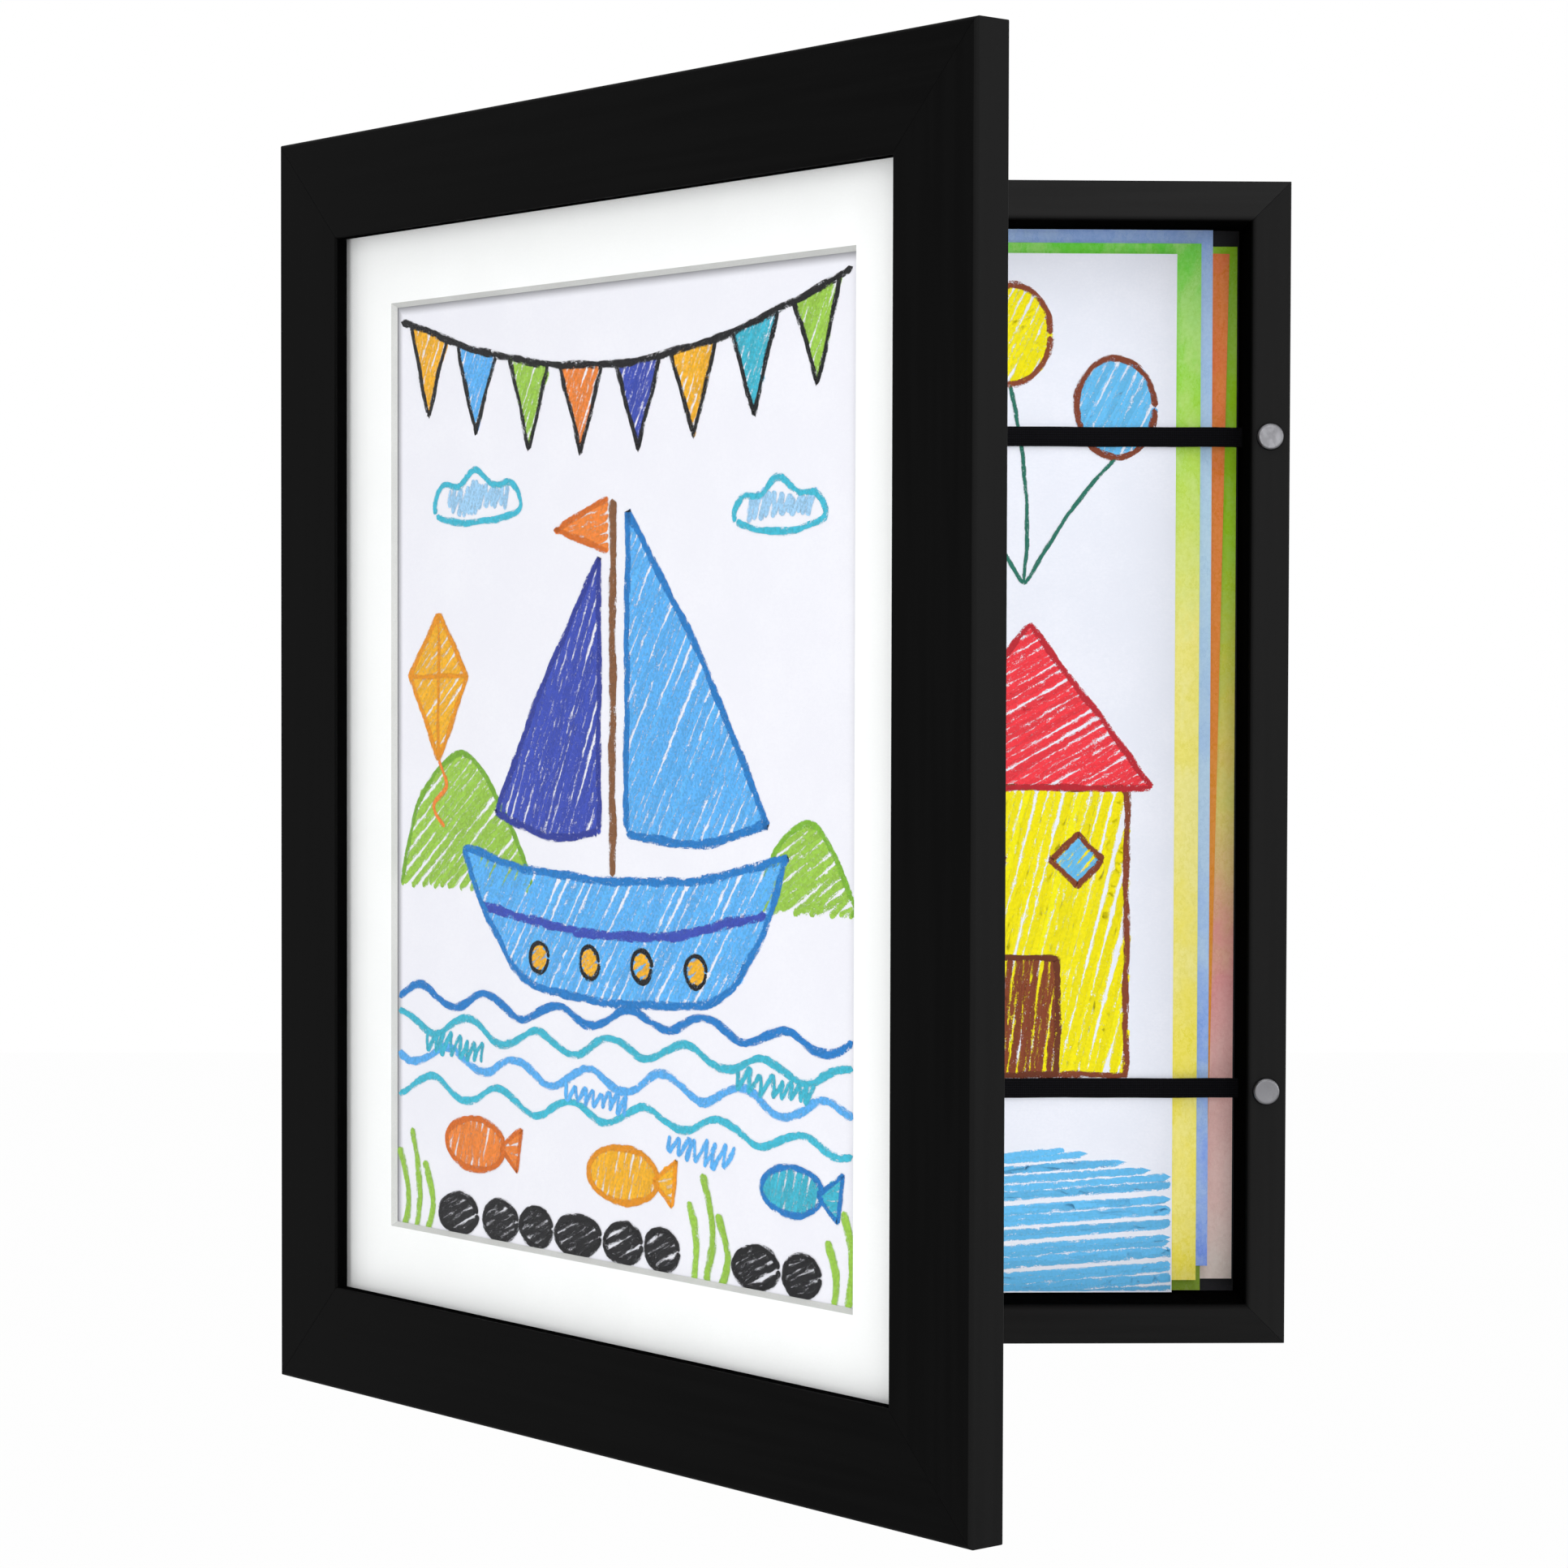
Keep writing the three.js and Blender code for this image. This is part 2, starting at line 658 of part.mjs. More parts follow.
// The pan-head screw a button turns on, with its shank towards the door's face
function buttonScrewGeometry() {
  const points = [[0, -buttonScrewLength], [buttonScrewRadius, -buttonScrewLength + screwPoint],
    [buttonScrewRadius, buttonThickness + 2 * buttonGap], [buttonScrewHead, buttonThickness + 2 * buttonGap]];
  for (let step = 1; step <= arcSteps; step += 1) {
    const angle = (step / arcSteps) * Math.PI / 2;
    points.push([buttonScrewHead * Math.cos(angle),
      buttonThickness + 2 * buttonGap + buttonScrewCap * Math.sin(angle)]);
  }
  return revolve(points, smallSides);
}

function buildButtons(group) {
  const rows = [["upper", 1], ["lower", -1]];
  const columns = [["hinge", -1], ["free", 1]];
  for (const [row, up] of rows) {
    for (const [column, across] of columns) {
      const holder = new THREE.Group();
      holder.position.set(across * (doorWidth / 2 - buttonInset), doorThickness, up * buttonSpacing / 2);
      holder.rotation.y = across > 0 ? Math.PI : 0;
      const button = addMesh(holder, `turn_button_${column}_${row}`, buttonGeometry(), finishes.steel);
      button.position.y = buttonGap;
      addMesh(holder, `button_screw_${column}_${row}`, buttonScrewGeometry(), finishes.steel);
      group.add(holder);
    }
  }
}

// Assembly

const frame = new THREE.Group();
frame.position.set(0, -boxDepth, (boxHeight - backEdge) / 2);

const box = new THREE.Group();
buildWalls(box);
buildPanel(box);
buildStoredSheets(box);
buildStraps(box);
buildMagnets(box);
buildHangers(box);
frame.add(box);

const fixedLeaves = new THREE.Group();
fixedLeaves.position.set(hingeX, hingeY, 0);
buildLeaves(fixedLeaves, "box", 0, 0);
buildPins(fixedLeaves);
frame.add(fixedLeaves);

const door = new THREE.Group();
door.position.set(hingeX, hingeY, 0);
door.rotation.z = -THREE.MathUtils.degToRad(doorOpenDegrees);
buildLeaves(door, "door", 1, Math.PI);
const doorFrame = new THREE.Group();
doorFrame.position.set(-hingeX, -doorGap - doorThickness - hingeY, 0);
buildMoulding(doorFrame);
buildLayers(doorFrame);
buildDiscs(doorFrame);
buildButtons(doorFrame);
door.add(doorFrame);
frame.add(door);

export default frame;
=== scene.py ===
"""Looks of a children's art frame: a glazed, matted door hinged on a shallow storage box.

Sizes are in millimetres, in the frame of the sub-assembly that carries a piece. A Placement takes
them to metres in the part's own frame, where X runs to the viewer's right, Y into the wall, Z up.
"""
import sys

import logging
import math
from dataclasses import dataclass, field, replace
from enum import Enum
from functools import partial
from typing import Callable, Sequence

import bmesh
import bpy
import numpy as np
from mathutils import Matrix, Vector

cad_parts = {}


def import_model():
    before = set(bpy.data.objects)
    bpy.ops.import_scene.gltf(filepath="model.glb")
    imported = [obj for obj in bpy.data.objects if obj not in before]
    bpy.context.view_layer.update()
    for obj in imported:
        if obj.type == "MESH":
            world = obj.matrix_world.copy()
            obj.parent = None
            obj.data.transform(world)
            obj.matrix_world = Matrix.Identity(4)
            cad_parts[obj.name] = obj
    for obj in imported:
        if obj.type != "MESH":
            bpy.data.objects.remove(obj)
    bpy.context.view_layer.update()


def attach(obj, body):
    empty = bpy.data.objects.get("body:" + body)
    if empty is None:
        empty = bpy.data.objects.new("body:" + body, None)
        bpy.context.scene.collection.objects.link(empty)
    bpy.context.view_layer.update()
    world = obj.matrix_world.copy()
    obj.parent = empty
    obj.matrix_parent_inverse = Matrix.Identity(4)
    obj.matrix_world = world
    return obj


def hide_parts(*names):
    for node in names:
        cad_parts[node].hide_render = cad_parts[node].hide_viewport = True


Array = np.ndarray
MM = 0.001
CORNERS = np.array([[-1, -1], [1, -1], [1, 1], [-1, 1]])
LOG = logging.getLogger("art_frame")


# ---- Surfaces -------------------------------------------------------------------------------


@dataclass
class Patch:
    """A surface: points in millimetres, faces as lists of point numbers, a finish number for each
    face, and a map coordinate and a colour for each point where the surface carries them."""

    points: Array
    faces: list
    finish: Array
    mapping: Array | None = None
    colour: Array | None = None
    closed: bool = True

    def moved(self, change: Callable[[Array], Array]) -> "Patch":
        """Returns a copy whose points went through the given function."""
        return replace(self, points=change(self.points))

    def put(self, x: float, y: float, z: float, turn: Sequence[float] = (1, 1, 1)) -> "Patch":
        """Returns a copy whose points are multiplied by the turn's signs and then shifted."""
        return replace(self, points=self.points * np.array(turn) + np.array([x, y, z]))


@dataclass(frozen=True)
class Placement:
    """Where a sub-assembly lies: its points are shifted, turned about Z and put at the origin."""

    origin: tuple[float, float, float]
    turn: float = 0.0
    shift: tuple[float, float, float] = (0.0, 0.0, 0.0)

    def world(self, points: Array) -> Array:
        """Takes points to the part's frame: origin + R(turn) (point + shift).

        Args:
            points: points in the sub-assembly's frame, in millimetres.

        Returns:
            The same points in the part's frame, in metres.
        """
        angle = math.radians(self.turn)
        rotation = np.array([[math.cos(angle), -math.sin(angle), 0.0],
                             [math.sin(angle), math.cos(angle), 0.0], [0.0, 0.0, 1.0]])
        return ((points + np.array(self.shift)) @ rotation.T + np.array(self.origin)) * MM


class Side(Enum):
    """The four sides of a rectangular frame, each with the x and z of its inward direction."""

    LEFT = (1, 0)
    TOP = (0, -1)
    RIGHT = (-1, 0)
    BOTTOM = (0, 1)

    def place(self, points: Array, width: float, height: float) -> Array:
        """Puts a side in its frame. Its own x runs inward from its outer edge, y back from its front
        face and z along it.

        Args:
            points: points of the side, drawn as the left one.
            width: the frame's outer width.
            height: its outer height.

        Returns:
            The points in the frame's own coordinates.
        """
        (u, v), (x, y, z) = self.value, points.T
        inward = x - (abs(u) * width + abs(v) * height) / 2
        return np.stack([u * inward - v * z, y, v * inward + u * z], 1)


def plain_patch(points: Array, faces: list, finish: int = 0) -> Patch:
    """Returns a closed patch whose faces all have the same finish."""
    return Patch(points, faces, np.full(len(faces), finish))


def grid_faces(rows: int, columns: int, wrap_rows: bool = False, wrap_columns: bool = False) -> Array:
    """Numbers the quads of a grid of points that is stored row by row.

    Args:
        rows: the number of rows.
        columns: the number of points in a row.
        wrap_rows: whether the last row joins the first.
        wrap_columns: whether a row's last point joins its first.

    Returns:
        The four point numbers of each quad.
    """
    row = np.arange(rows if wrap_rows else rows - 1)[:, None]
    column = np.arange(columns if wrap_columns else columns - 1)[None, :]
    next_row, next_column = (row + 1) % rows, (column + 1) % columns
    corners = (row * columns + column, row * columns + next_column,
               next_row * columns + next_column, next_row * columns + column)
    return np.stack(corners, -1).reshape(-1, 4)


def rounded_loop(corners: Sequence[tuple[float, float, float]], steps: int = 6) -> Array:
    """Rounds the corners of a closed outline.

    Where the outline turns by a, an arc of radius r starts r tan(a/2) before the corner. Its point at
    turning t is start + r (sin t u + (1 - cos t) n), u along the arriving edge and n its normal.

    Args:
        corners: each corner's two coordinates and its radius.
        steps: the steps of an arc.

    Returns:
        The rounded outline, without repeated points.
    """
    table = np.array(corners, float)
    points, radii = table[:, :2], table[:, 2]
    arriving, leaving = points - np.roll(points, 1, 0), np.roll(points, -1, 0) - points
    u = arriving / np.linalg.norm(arriving, axis=1, keepdims=True)
    v = leaving / np.linalg.norm(leaving, axis=1, keepdims=True)
    turn = np.arctan2(u[:, 0] * v[:, 1] - u[:, 1] * v[:, 0], (u * v).sum(1))
    n = np.stack([-u[:, 1], u[:, 0]], 1) * np.sign(turn)[:, None]
    angle = np.abs(turn)[:, None] * np.linspace(0, 1, steps + 1)[None, :]
    start = points - u * (radii * np.tan(np.abs(turn) / 2))[:, None]
    arc = start[:, None] + radii[:, None, None] * (
        np.sin(angle)[..., None] * u[:, None] + (1 - np.cos(angle))[..., None] * n[:, None])
    loop = arc.reshape(-1, 2)
    apart = np.linalg.norm(loop - np.roll(loop, 1, 0), axis=1) > 1e-6
    return loop[apart]


def inset_loop(loop: Array, distance: float) -> Array:
    """Moves a closed outline inward, each point along the mean normal of its two edges.

    Args:
        loop: the outline's points.
        distance: how far the edges move inward.

    Returns:
        The points of the smaller outline.
    """
    edge = np.roll(loop, -1, 0) - loop
    normal = np.stack([-edge[:, 1], edge[:, 0]], 1) / np.linalg.norm(edge, axis=1, keepdims=True)
    area = (loop[:, 0] * np.roll(loop[:, 1], -1) - np.roll(loop[:, 0], -1) * loop[:, 1]).sum()
    normal *= np.sign(area)
    mean = normal + np.roll(normal, 1, 0)
    mean /= np.linalg.norm(mean, axis=1, keepdims=True)
    return loop + mean * distance / np.clip((mean * normal).sum(1, keepdims=True), 0.4, None)


def loft(rings: Array, capped: bool = True) -> Patch:
    """Joins a row of closed outlines into a tube.

    Args:
        rings: array of outlines, each with the same number of points in space.
        capped: whether flat ends close the tube. Otherwise the last outline joins the first.

    Returns:
        The closed surface.
    """
    count, size = rings.shape[:2]
    faces = grid_faces(count, size, wrap_rows=not capped, wrap_columns=True).tolist()
    if capped:
        faces += [list(range(size)), list(range((count - 1) * size, count * size))]
    return plain_patch(rings.reshape(-1, 3), faces)


def plate(loop: Array, low: float, high: float, ease: float = 0.15) -> Patch:
    """A plate with an outline in x and z, from y = low to y = high, with eased edges.

    Its rings are the outline, moved inward by the ease at the faces and by a third of it just behind.

    Args:
        loop: the outline's points.
        low: the front face's place.
        high: the back face's place.
        ease: how far the edges are eased.

    Returns:
        The closed surface.
    """
    levels = ((ease, low), (ease / 3, low + ease / 3), (0.0, low + ease),
              (0.0, high - ease), (ease / 3, high - ease / 3), (ease, high))
    rings = []
    for inset, level in levels:
        flat = inset_loop(loop, inset) if inset else loop
        rings.append(np.insert(flat, 1, level, axis=1))
    return loft(np.array(rings))


def slab(width: float, height: float, low: float, high: float, corner: float = 0.5,
         ease: float = 0.15) -> Patch:
    """Returns a rectangular plate about x = z = 0, with rounded corners and eased edges."""
    loop = rounded_loop([(x * width / 2, z * height / 2, corner) for x, z in CORNERS], 5)
    return plate(loop, low, high, ease)


def revolve(profile: Array, sides: int = 48) -> Patch:
    """Turns a profile about Y: x = r cos a, z = r sin a, y as given. Its ends are on the axis.

    Args:
        profile: radius and height of each point, from one pole to the other.
        sides: how many steps the turn has.

    Returns:
        The closed surface.
    """
    angle = np.linspace(0, 2 * math.pi, sides, endpoint=False)
    radius, height = profile[1:-1, 0][:, None], profile[1:-1, 1][:, None]
    ring = np.stack([radius * np.cos(angle), np.broadcast_to(height, (len(radius), sides)),
                     radius * np.sin(angle)], -1)
    count = len(radius)
    faces = grid_faces(count, sides, wrap_columns=True).tolist()
    poles = count * sides, count * sides + 1
    around = np.arange(sides)
    after = (around + 1) % sides
    last = (count - 1) * sides
    faces += np.stack([np.full(sides, poles[0]), around, after], 1).tolist()
    faces += np.stack([np.full(sides, poles[1]), last + after, last + around], 1).tolist()
    ends = np.array([[0, profile[0, 1], 0], [0, profile[-1, 1], 0]])
    return plain_patch(np.concatenate([ring.reshape(-1, 3), ends]), faces)


def block(low: Sequence[float], high: Sequence[float]) -> Patch:
    """Returns a plain box from its low to its high corner, used only to cut with."""
    middle, half = (np.array(high) + low) / 2, (np.array(high) - low) / 2
    return loft(np.array([[middle + half * (x, y, z) for x, z in CORNERS] for y in (-1, 1)]))


def rod(radius: float, low: float, high: float, x: float, z: float) -> Patch:
    """Returns a plain cylinder along Y about the given x and z, used only to cut with."""
    return revolve(np.array([[0, low], [radius, low], [radius, high], [0, high]])).put(x, 0, z)


def mitred_side(profile: Array, length: float, gap: float = 0.04, ease: float = 0.06) -> Patch:
    """Carries a profile along a frame's side between its two mitres.

    At the end e (-1 or 1) a point x inward lies at z = e (length/2 - x - gap/2), and the last ring is
    moved inward by the ease.

    Args:
        profile: the closed outline in x, inward, and y, back.
        length: the side's outer length.
        gap: the width of the mitre joint.
        ease: how far the mitre's edges are eased.

    Returns:
        The closed surface, drawn as the left side.
    """
    small = inset_loop(profile, ease)
    rings = []
    for end, flat, back in ((-1, small, 0.0), (-1, profile, ease), (1, profile, ease), (1, small, 0.0)):
        along = end * (length / 2 - flat[:, 0] - gap / 2 - back)
        rings.append(np.stack([flat[:, 0], flat[:, 1], along], 1))
    return loft(np.array(rings))


def picture_frame(profile: Array, width: float, height: float) -> Patch:
    """Carries a profile round a rectangle in one piece.

    At the corner with signs sx and sz a point x inward lies at sx (width/2 - x), sz (height/2 - x).

    Args:
        profile: the closed outline in x, inward, and y, back.
        width: the outer width.
        height: the outer height.

    Returns:
        The closed ring.
    """
    x, y = profile.T
    rings = np.stack([CORNERS[:, :1] * (width / 2 - x), np.broadcast_to(y, (4, len(y))),
                      CORNERS[:, 1:] * (height / 2 - x)], -1)
    return loft(rings, capped=False)


def add_object(name: str, data: bpy.types.ID) -> bpy.types.Object:
    """Adds an object to the scene.

    Args:
        name: its name.
        data: its mesh, lamp or camera.

    Returns:
        The object.
    """
    item = bpy.data.objects.new(name, data)
    bpy.context.scene.collection.objects.link(item)
    return item


def turn_outward(mesh: bpy.types.Mesh, faces: Sequence[int]) -> None:
    """Turns faces outward.

    Args:
        mesh: the mesh.
        faces: the numbers of the faces.
    """
    work = bmesh.new()
    work.from_mesh(mesh)
    work.faces.ensure_lookup_table()
    bmesh.ops.recalc_face_normals(work, faces=[work.faces[number] for number in faces])
    work.to_mesh(mesh)
    work.free()


def temporary_object(patch: Patch) -> bpy.types.Object:
    """Makes an object with outward faces, to cut or be cut.

    Args:
        patch: its surface.

    Returns:
        The object, in millimetres.
    """
    mesh = bpy.data.meshes.new("temporary")
    mesh.from_pydata(patch.points.tolist(), [], [list(face) for face in patch.faces])
    turn_outward(mesh, range(len(patch.faces)))
    return add_object("temporary", mesh)


def carve(patch: Patch, cutters: Sequence[Patch]) -> Patch:
    """Cuts closed surfaces out of a closed surface.

    Args:
        patch: what is cut.
        cutters: what is taken away.

    Returns:
        The closed surface that is left.
    """
    body = temporary_object(patch)
    tools = [temporary_object(cutter) for cutter in cutters]
    for tool in tools:
        change = body.modifiers.new("cut", "BOOLEAN")
        change.operation, change.solver, change.object = "DIFFERENCE", "EXACT", tool
    bpy.context.view_layer.update()
    result = bpy.data.meshes.new_from_object(body.evaluated_get(bpy.context.evaluated_depsgraph_get()))
    points = np.empty(len(result.vertices) * 3, np.float32)
    result.vertices.foreach_get("co", points)
    faces = [list(polygon.vertices) for polygon in result.polygons]
    bpy.data.meshes.remove(result)
    for item in [body, *tools]:
        mesh = item.data
        bpy.data.objects.remove(item)
        bpy.data.meshes.remove(mesh)
    return plain_patch(points.astype(float).reshape(-1, 3), faces)


# ---- Pieces ---------------------------------------------------------------------------------


def keep_flats_flat(mesh: bpy.types.Mesh, ratio: float = 12.0) -> None:
    """Marks an edge sharp where one of its faces is far larger than the other, so that the facets of
    an eased edge don't bend the shading of the flat face beside them.

    Args:
        mesh: the mesh.
        ratio: how many times larger a face must be.
    """
    edge, total = np.empty(len(mesh.loops), np.int32), np.empty(len(mesh.polygons), np.int32)
    area, sharp = np.empty(len(mesh.polygons), np.float32), np.empty(len(mesh.edges), bool)
    mesh.loops.foreach_get("edge_index", edge)
    mesh.polygons.foreach_get("loop_total", total)
    mesh.polygons.foreach_get("area", area)
    mesh.edges.foreach_get("use_edge_sharp", sharp)
    most, least = np.zeros(len(sharp), np.float32), np.full(len(sharp), np.inf, np.float32)
    np.maximum.at(most, edge, np.repeat(area, total))
    np.minimum.at(least, edge, np.repeat(area, total))
    mesh.edges.foreach_set("use_edge_sharp", sharp | (most > ratio * least))


def make_piece(name: str, patches: Sequence[Patch], placement: Placement, finishes: Sequence["Finish"],
               body: str, node: str, sharp: float = 32.0) -> None:
    """Makes an object of some patches, dresses it and ties it to its CAD body and node.

    Args:
        name: the object's name.
        patches: its surfaces, in the sub-assembly's frame.
        placement: where the sub-assembly lies.
        finishes: its finishes, by the patches' finish numbers.
        body: the CAD body that it rides on.
        node: the CAD node that it stands for.
        sharp: the angle in degrees over which an edge stays sharp.
    """
    starts = np.cumsum([0] + [len(patch.points) for patch in patches])
    faces = [[number + int(start) for number in face]
             for patch, start in zip(patches, starts) for face in patch.faces]
    local = np.concatenate([patch.points for patch in patches]).astype(np.float32)
    mesh = bpy.data.meshes.new(name)
    mesh.from_pydata(placement.world(local).tolist(), [], faces)
    closed = np.concatenate([np.full(len(patch.faces), patch.closed) for patch in patches])
    turn_outward(mesh, np.flatnonzero(closed))
    mesh.polygons.foreach_set("material_index", np.concatenate([patch.finish for patch in patches]))
    mesh.polygons.foreach_set("use_smooth", np.ones(len(mesh.polygons), bool))
    mesh.set_sharp_from_angle(angle=math.radians(sharp))
    keep_flats_flat(mesh)
    place = mesh.attributes.new("local", "FLOAT_VECTOR", "POINT")
    place.data.foreach_set("vector", local.ravel())
    if any(patch.mapping is not None for patch in patches):
        both = np.concatenate([np.zeros((len(p.points), 2)) if p.mapping is None else p.mapping
                               for p in patches])
        corner = np.empty(len(mesh.loops), np.int32)
        mesh.loops.foreach_get("vertex_index", corner)
        mesh.uv_layers.new(name="Stroke").data.foreach_set("uv", both[corner].astype(np.float32).ravel())
        tint = np.concatenate([np.ones((len(p.points), 4)) if p.colour is None else p.colour
                               for p in patches])
        layer = mesh.color_attributes.new("Crayon", "FLOAT_COLOR", "POINT")
        layer.data.foreach_set("color", tint.astype(np.float32).ravel())
    for finish in finishes:
        mesh.materials.append(finish.material())
    item = add_object(name, mesh)
    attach(item, body)
    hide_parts(node)
    LOG.info("%s: %d faces, rides on %s", name, len(mesh.polygons), body)


# ---- Finishes -------------------------------------------------------------------------------


def linear(code: str) -> tuple[float, float, float, float]:
    """Turns a colour code such as "#7f7f7f" into the linear colour that nodes take.

    Args:
        code: the colour's code, as it would look on a screen.

    Returns:
        The linear colour, with a full fourth channel.
    """
    channel = np.array([int(code[i:i + 2], 16) for i in (1, 3, 5)]) / 255
    value = np.where(channel <= 0.04045, channel / 12.92, ((channel + 0.055) / 1.055) ** 2.4)
    return float(value[0]), float(value[1]), float(value[2]), 1.0


class Value:
    """A node's output. Its signs and calls add nodes that work on it, with numbers, colour codes or
    other values beside it."""

    def __init__(self, graph: "Graph", socket: bpy.types.NodeSocket) -> None:
        """Keeps the output and its graph."""
        self.graph, self.socket = graph, socket

    def math(self, operation: str, other: object = 0.0) -> "Value":
        """Returns the result of a Math node on this value and another."""
        return self.graph.value("Math", {0: self, 1: other}, operation=operation)

    def __add__(self, other: object) -> "Value":
        """Returns this value plus another."""
        return self.math("ADD", other)

    def __sub__(self, other: object) -> "Value":
        """Returns this value less another."""
        return self.math("SUBTRACT", other)

    def __mul__(self, other: object) -> "Value":
        """Returns this value times another."""
        return self.math("MULTIPLY", other)

    def vector(self, operation: str, other: object = (0.0, 0.0, 0.0), output: object = 0) -> "Value":
        """Returns an output of a Vector Math node on this vector and another."""
        return self.graph.value("VectorMath", {0: self, 1: other}, output, operation=operation)

    def stretched(self, x: float, y: float, z: float) -> "Value":
        """Returns this vector with its parts multiplied by x, y and z."""
        return self.vector("MULTIPLY", (x, y, z))

    def parts(self) -> list["Value"]:
        """Returns the three parts of this vector."""
        return [Value(self.graph, part) for part in self.graph.add("SeparateXYZ", {0: self}).outputs]

    def noise(self, scale: object, detail: float = 2.0, rough: float = 0.5) -> "Value":
        """Returns a noise at this place, about 0.5, with features 1/scale millimetres long."""
        return self.graph.value("TexNoise", {"Vector": self, "Scale": scale, "Detail": detail,
                                             "Roughness": rough})

    def spread(self, low: float, high: float, to_low: float = 0.0, to_high: float = 1.0) -> "Value":
        """Maps this value from low and high to to_low and to_high, smoothly and held at the ends."""
        return self.graph.value("MapRange", {0: self, 1: low, 2: high, 3: to_low, 4: to_high},
                                interpolation_type="SMOOTHSTEP")

    def effect(self, builder: Callable[[], bpy.types.NodeTree], **inputs: object) -> dict[str, "Value"]:
        """Adds a shared effect at this place. Its node group is built at its first use.

        Args:
            builder: the function that builds the group, which bears its name.
            inputs: the group's other inputs, by name.

        Returns:
            The group's outputs, by name.
        """
        tree = bpy.data.node_groups.get(builder.__name__) or builder()
        node = self.graph.add("Group", {"Place": self, **inputs}, node_tree=tree)
        return {socket.name: Value(self.graph, socket) for socket in node.outputs}

    def outside(self, outline: Sequence[float], low: float, high: float) -> "Value":
        """Masks this place by its distance, low to high, to a rectangle's middle and half sizes."""
        middle, half = (outline[0], 0.0, outline[1]), (outline[2], 0.0, outline[3])
        return self.effect(outline_group, Centre=middle, Half=half)["Distance"].spread(low, high)

    def mix(self, first: object, second: object) -> "Value":
        """Returns the colour that lies this share of the way from the first to the second."""
        return self.graph.value("Mix", {0: self, 6: first, 7: second}, 2, data_type="RGBA")


class Graph:
    """A node tree with short calls to add nodes and feed their sockets."""

    def __init__(self, tree: bpy.types.NodeTree) -> None:
        """Keeps the tree that nodes are added to."""
        self.tree = tree

    def add(self, kind: str, inputs: dict | None = None, **settings: object) -> bpy.types.Node:
        """Adds a node.

        Args:
            kind: the node's type without the words ShaderNode.
            inputs: values, numbers or colour codes for its inputs, by name or number.
            settings: other properties of the node.

        Returns:
            The node.
        """
        node = self.tree.nodes.new("ShaderNode" + kind)
        for name, value in settings.items():
            setattr(node, name, value)
        for name, value in (inputs or {}).items():
            if isinstance(value, Value):
                self.tree.links.new(value.socket, node.inputs[name])
            else:
                node.inputs[name].default_value = linear(value) if isinstance(value, str) else value
        return node

    def value(self, kind: str, inputs: dict | None = None, output: object = 0, **settings: object) -> Value:
        """Adds a node as above and returns one of its outputs, by name or number."""
        return Value(self, self.add(kind, inputs, **settings).outputs[output])

    def principled(self, inputs: dict, height: Value | None = None, depth: float = 0.0) -> Value:
        """Adds a Principled shader, bumped by a height.

        Args:
            inputs: its inputs, by name.
            height: the height, or None for a smooth surface.
            depth: how deep the height's full range is, in millimetres.

        Returns:
            The shader.
        """
        if height:
            inputs["Normal"] = self.value("Bump", {"Height": height, "Distance": depth * MM, "Strength": 1.0})
        return self.value("BsdfPrincipled", inputs)


def blank_nodes(owner: bpy.types.Material | bpy.types.World) -> Graph:
    """Empties a node tree.

    Args:
        owner: the material or world that has it.

    Returns:
        The empty tree.
    """
    owner.use_nodes = True
    owner.node_tree.nodes.clear()
    return Graph(owner.node_tree)


class EffectGroup(Graph):
    """The node group of a shared effect, while it is built."""

    def __init__(self, name: str, outputs: Sequence[str], **inputs: str) -> None:
        """Starts the group.

        Args:
            name: its name.
            outputs: the names of its outputs.
            inputs: the kind of each input, Float or Vector.
        """
        super().__init__(bpy.data.node_groups.new(name, "ShaderNodeTree"))
        for names, way in ((inputs, "INPUT"), (dict.fromkeys(outputs, "Float"), "OUTPUT")):
            for label, kind in names.items():
                self.tree.interface.new_socket(name=label, in_out=way, socket_type="NodeSocket" + kind)
        source = self.tree.nodes.new("NodeGroupInput")
        self.given = [Value(self, source.outputs[label]) for label in inputs]

    def closed(self, *values: Value) -> bpy.types.NodeTree:
        """Ends the group.

        Args:
            values: what its outputs give, in their order.

        Returns:
            The group.
        """
        sink = self.tree.nodes.new("NodeGroupOutput")
        for value, socket in zip(values, sink.inputs):
            self.tree.links.new(value.socket, socket)
        return self.tree


def grain_group() -> bpy.types.NodeTree:
    """Fine grain drawn out along z, as wood shows through a film of lacquer.

    Returns:
        The group, with a height for bumps and a slow shade.
    """
    group = EffectGroup("grain_group", ("Height", "Shade"), Place="Vector", Fineness="Float")
    place, fineness = group.given
    along = place.stretched(1.0, 1.0, 0.045)
    height = (along.noise(fineness, 3.0, 0.6) * 0.6 + along.noise(fineness * 2.7, 1.0) * 0.25
              + place.noise(0.9) * 0.3)
    return group.closed(height, along.noise(fineness * 0.12))


def dust_group() -> bpy.types.NodeTree:
    """Sparse specks about 0.2 mm across, fewer where a slower noise is low.

    Returns:
        The group, with a mask of the specks.
    """
    group = EffectGroup("dust_group", ("Mask",), Place="Vector", Amount="Float")
    place, amount = group.given
    return group.closed((place.noise(2.6, 1.0) + place.noise(0.06) * 0.1).spread(0.78, 0.84) * amount)


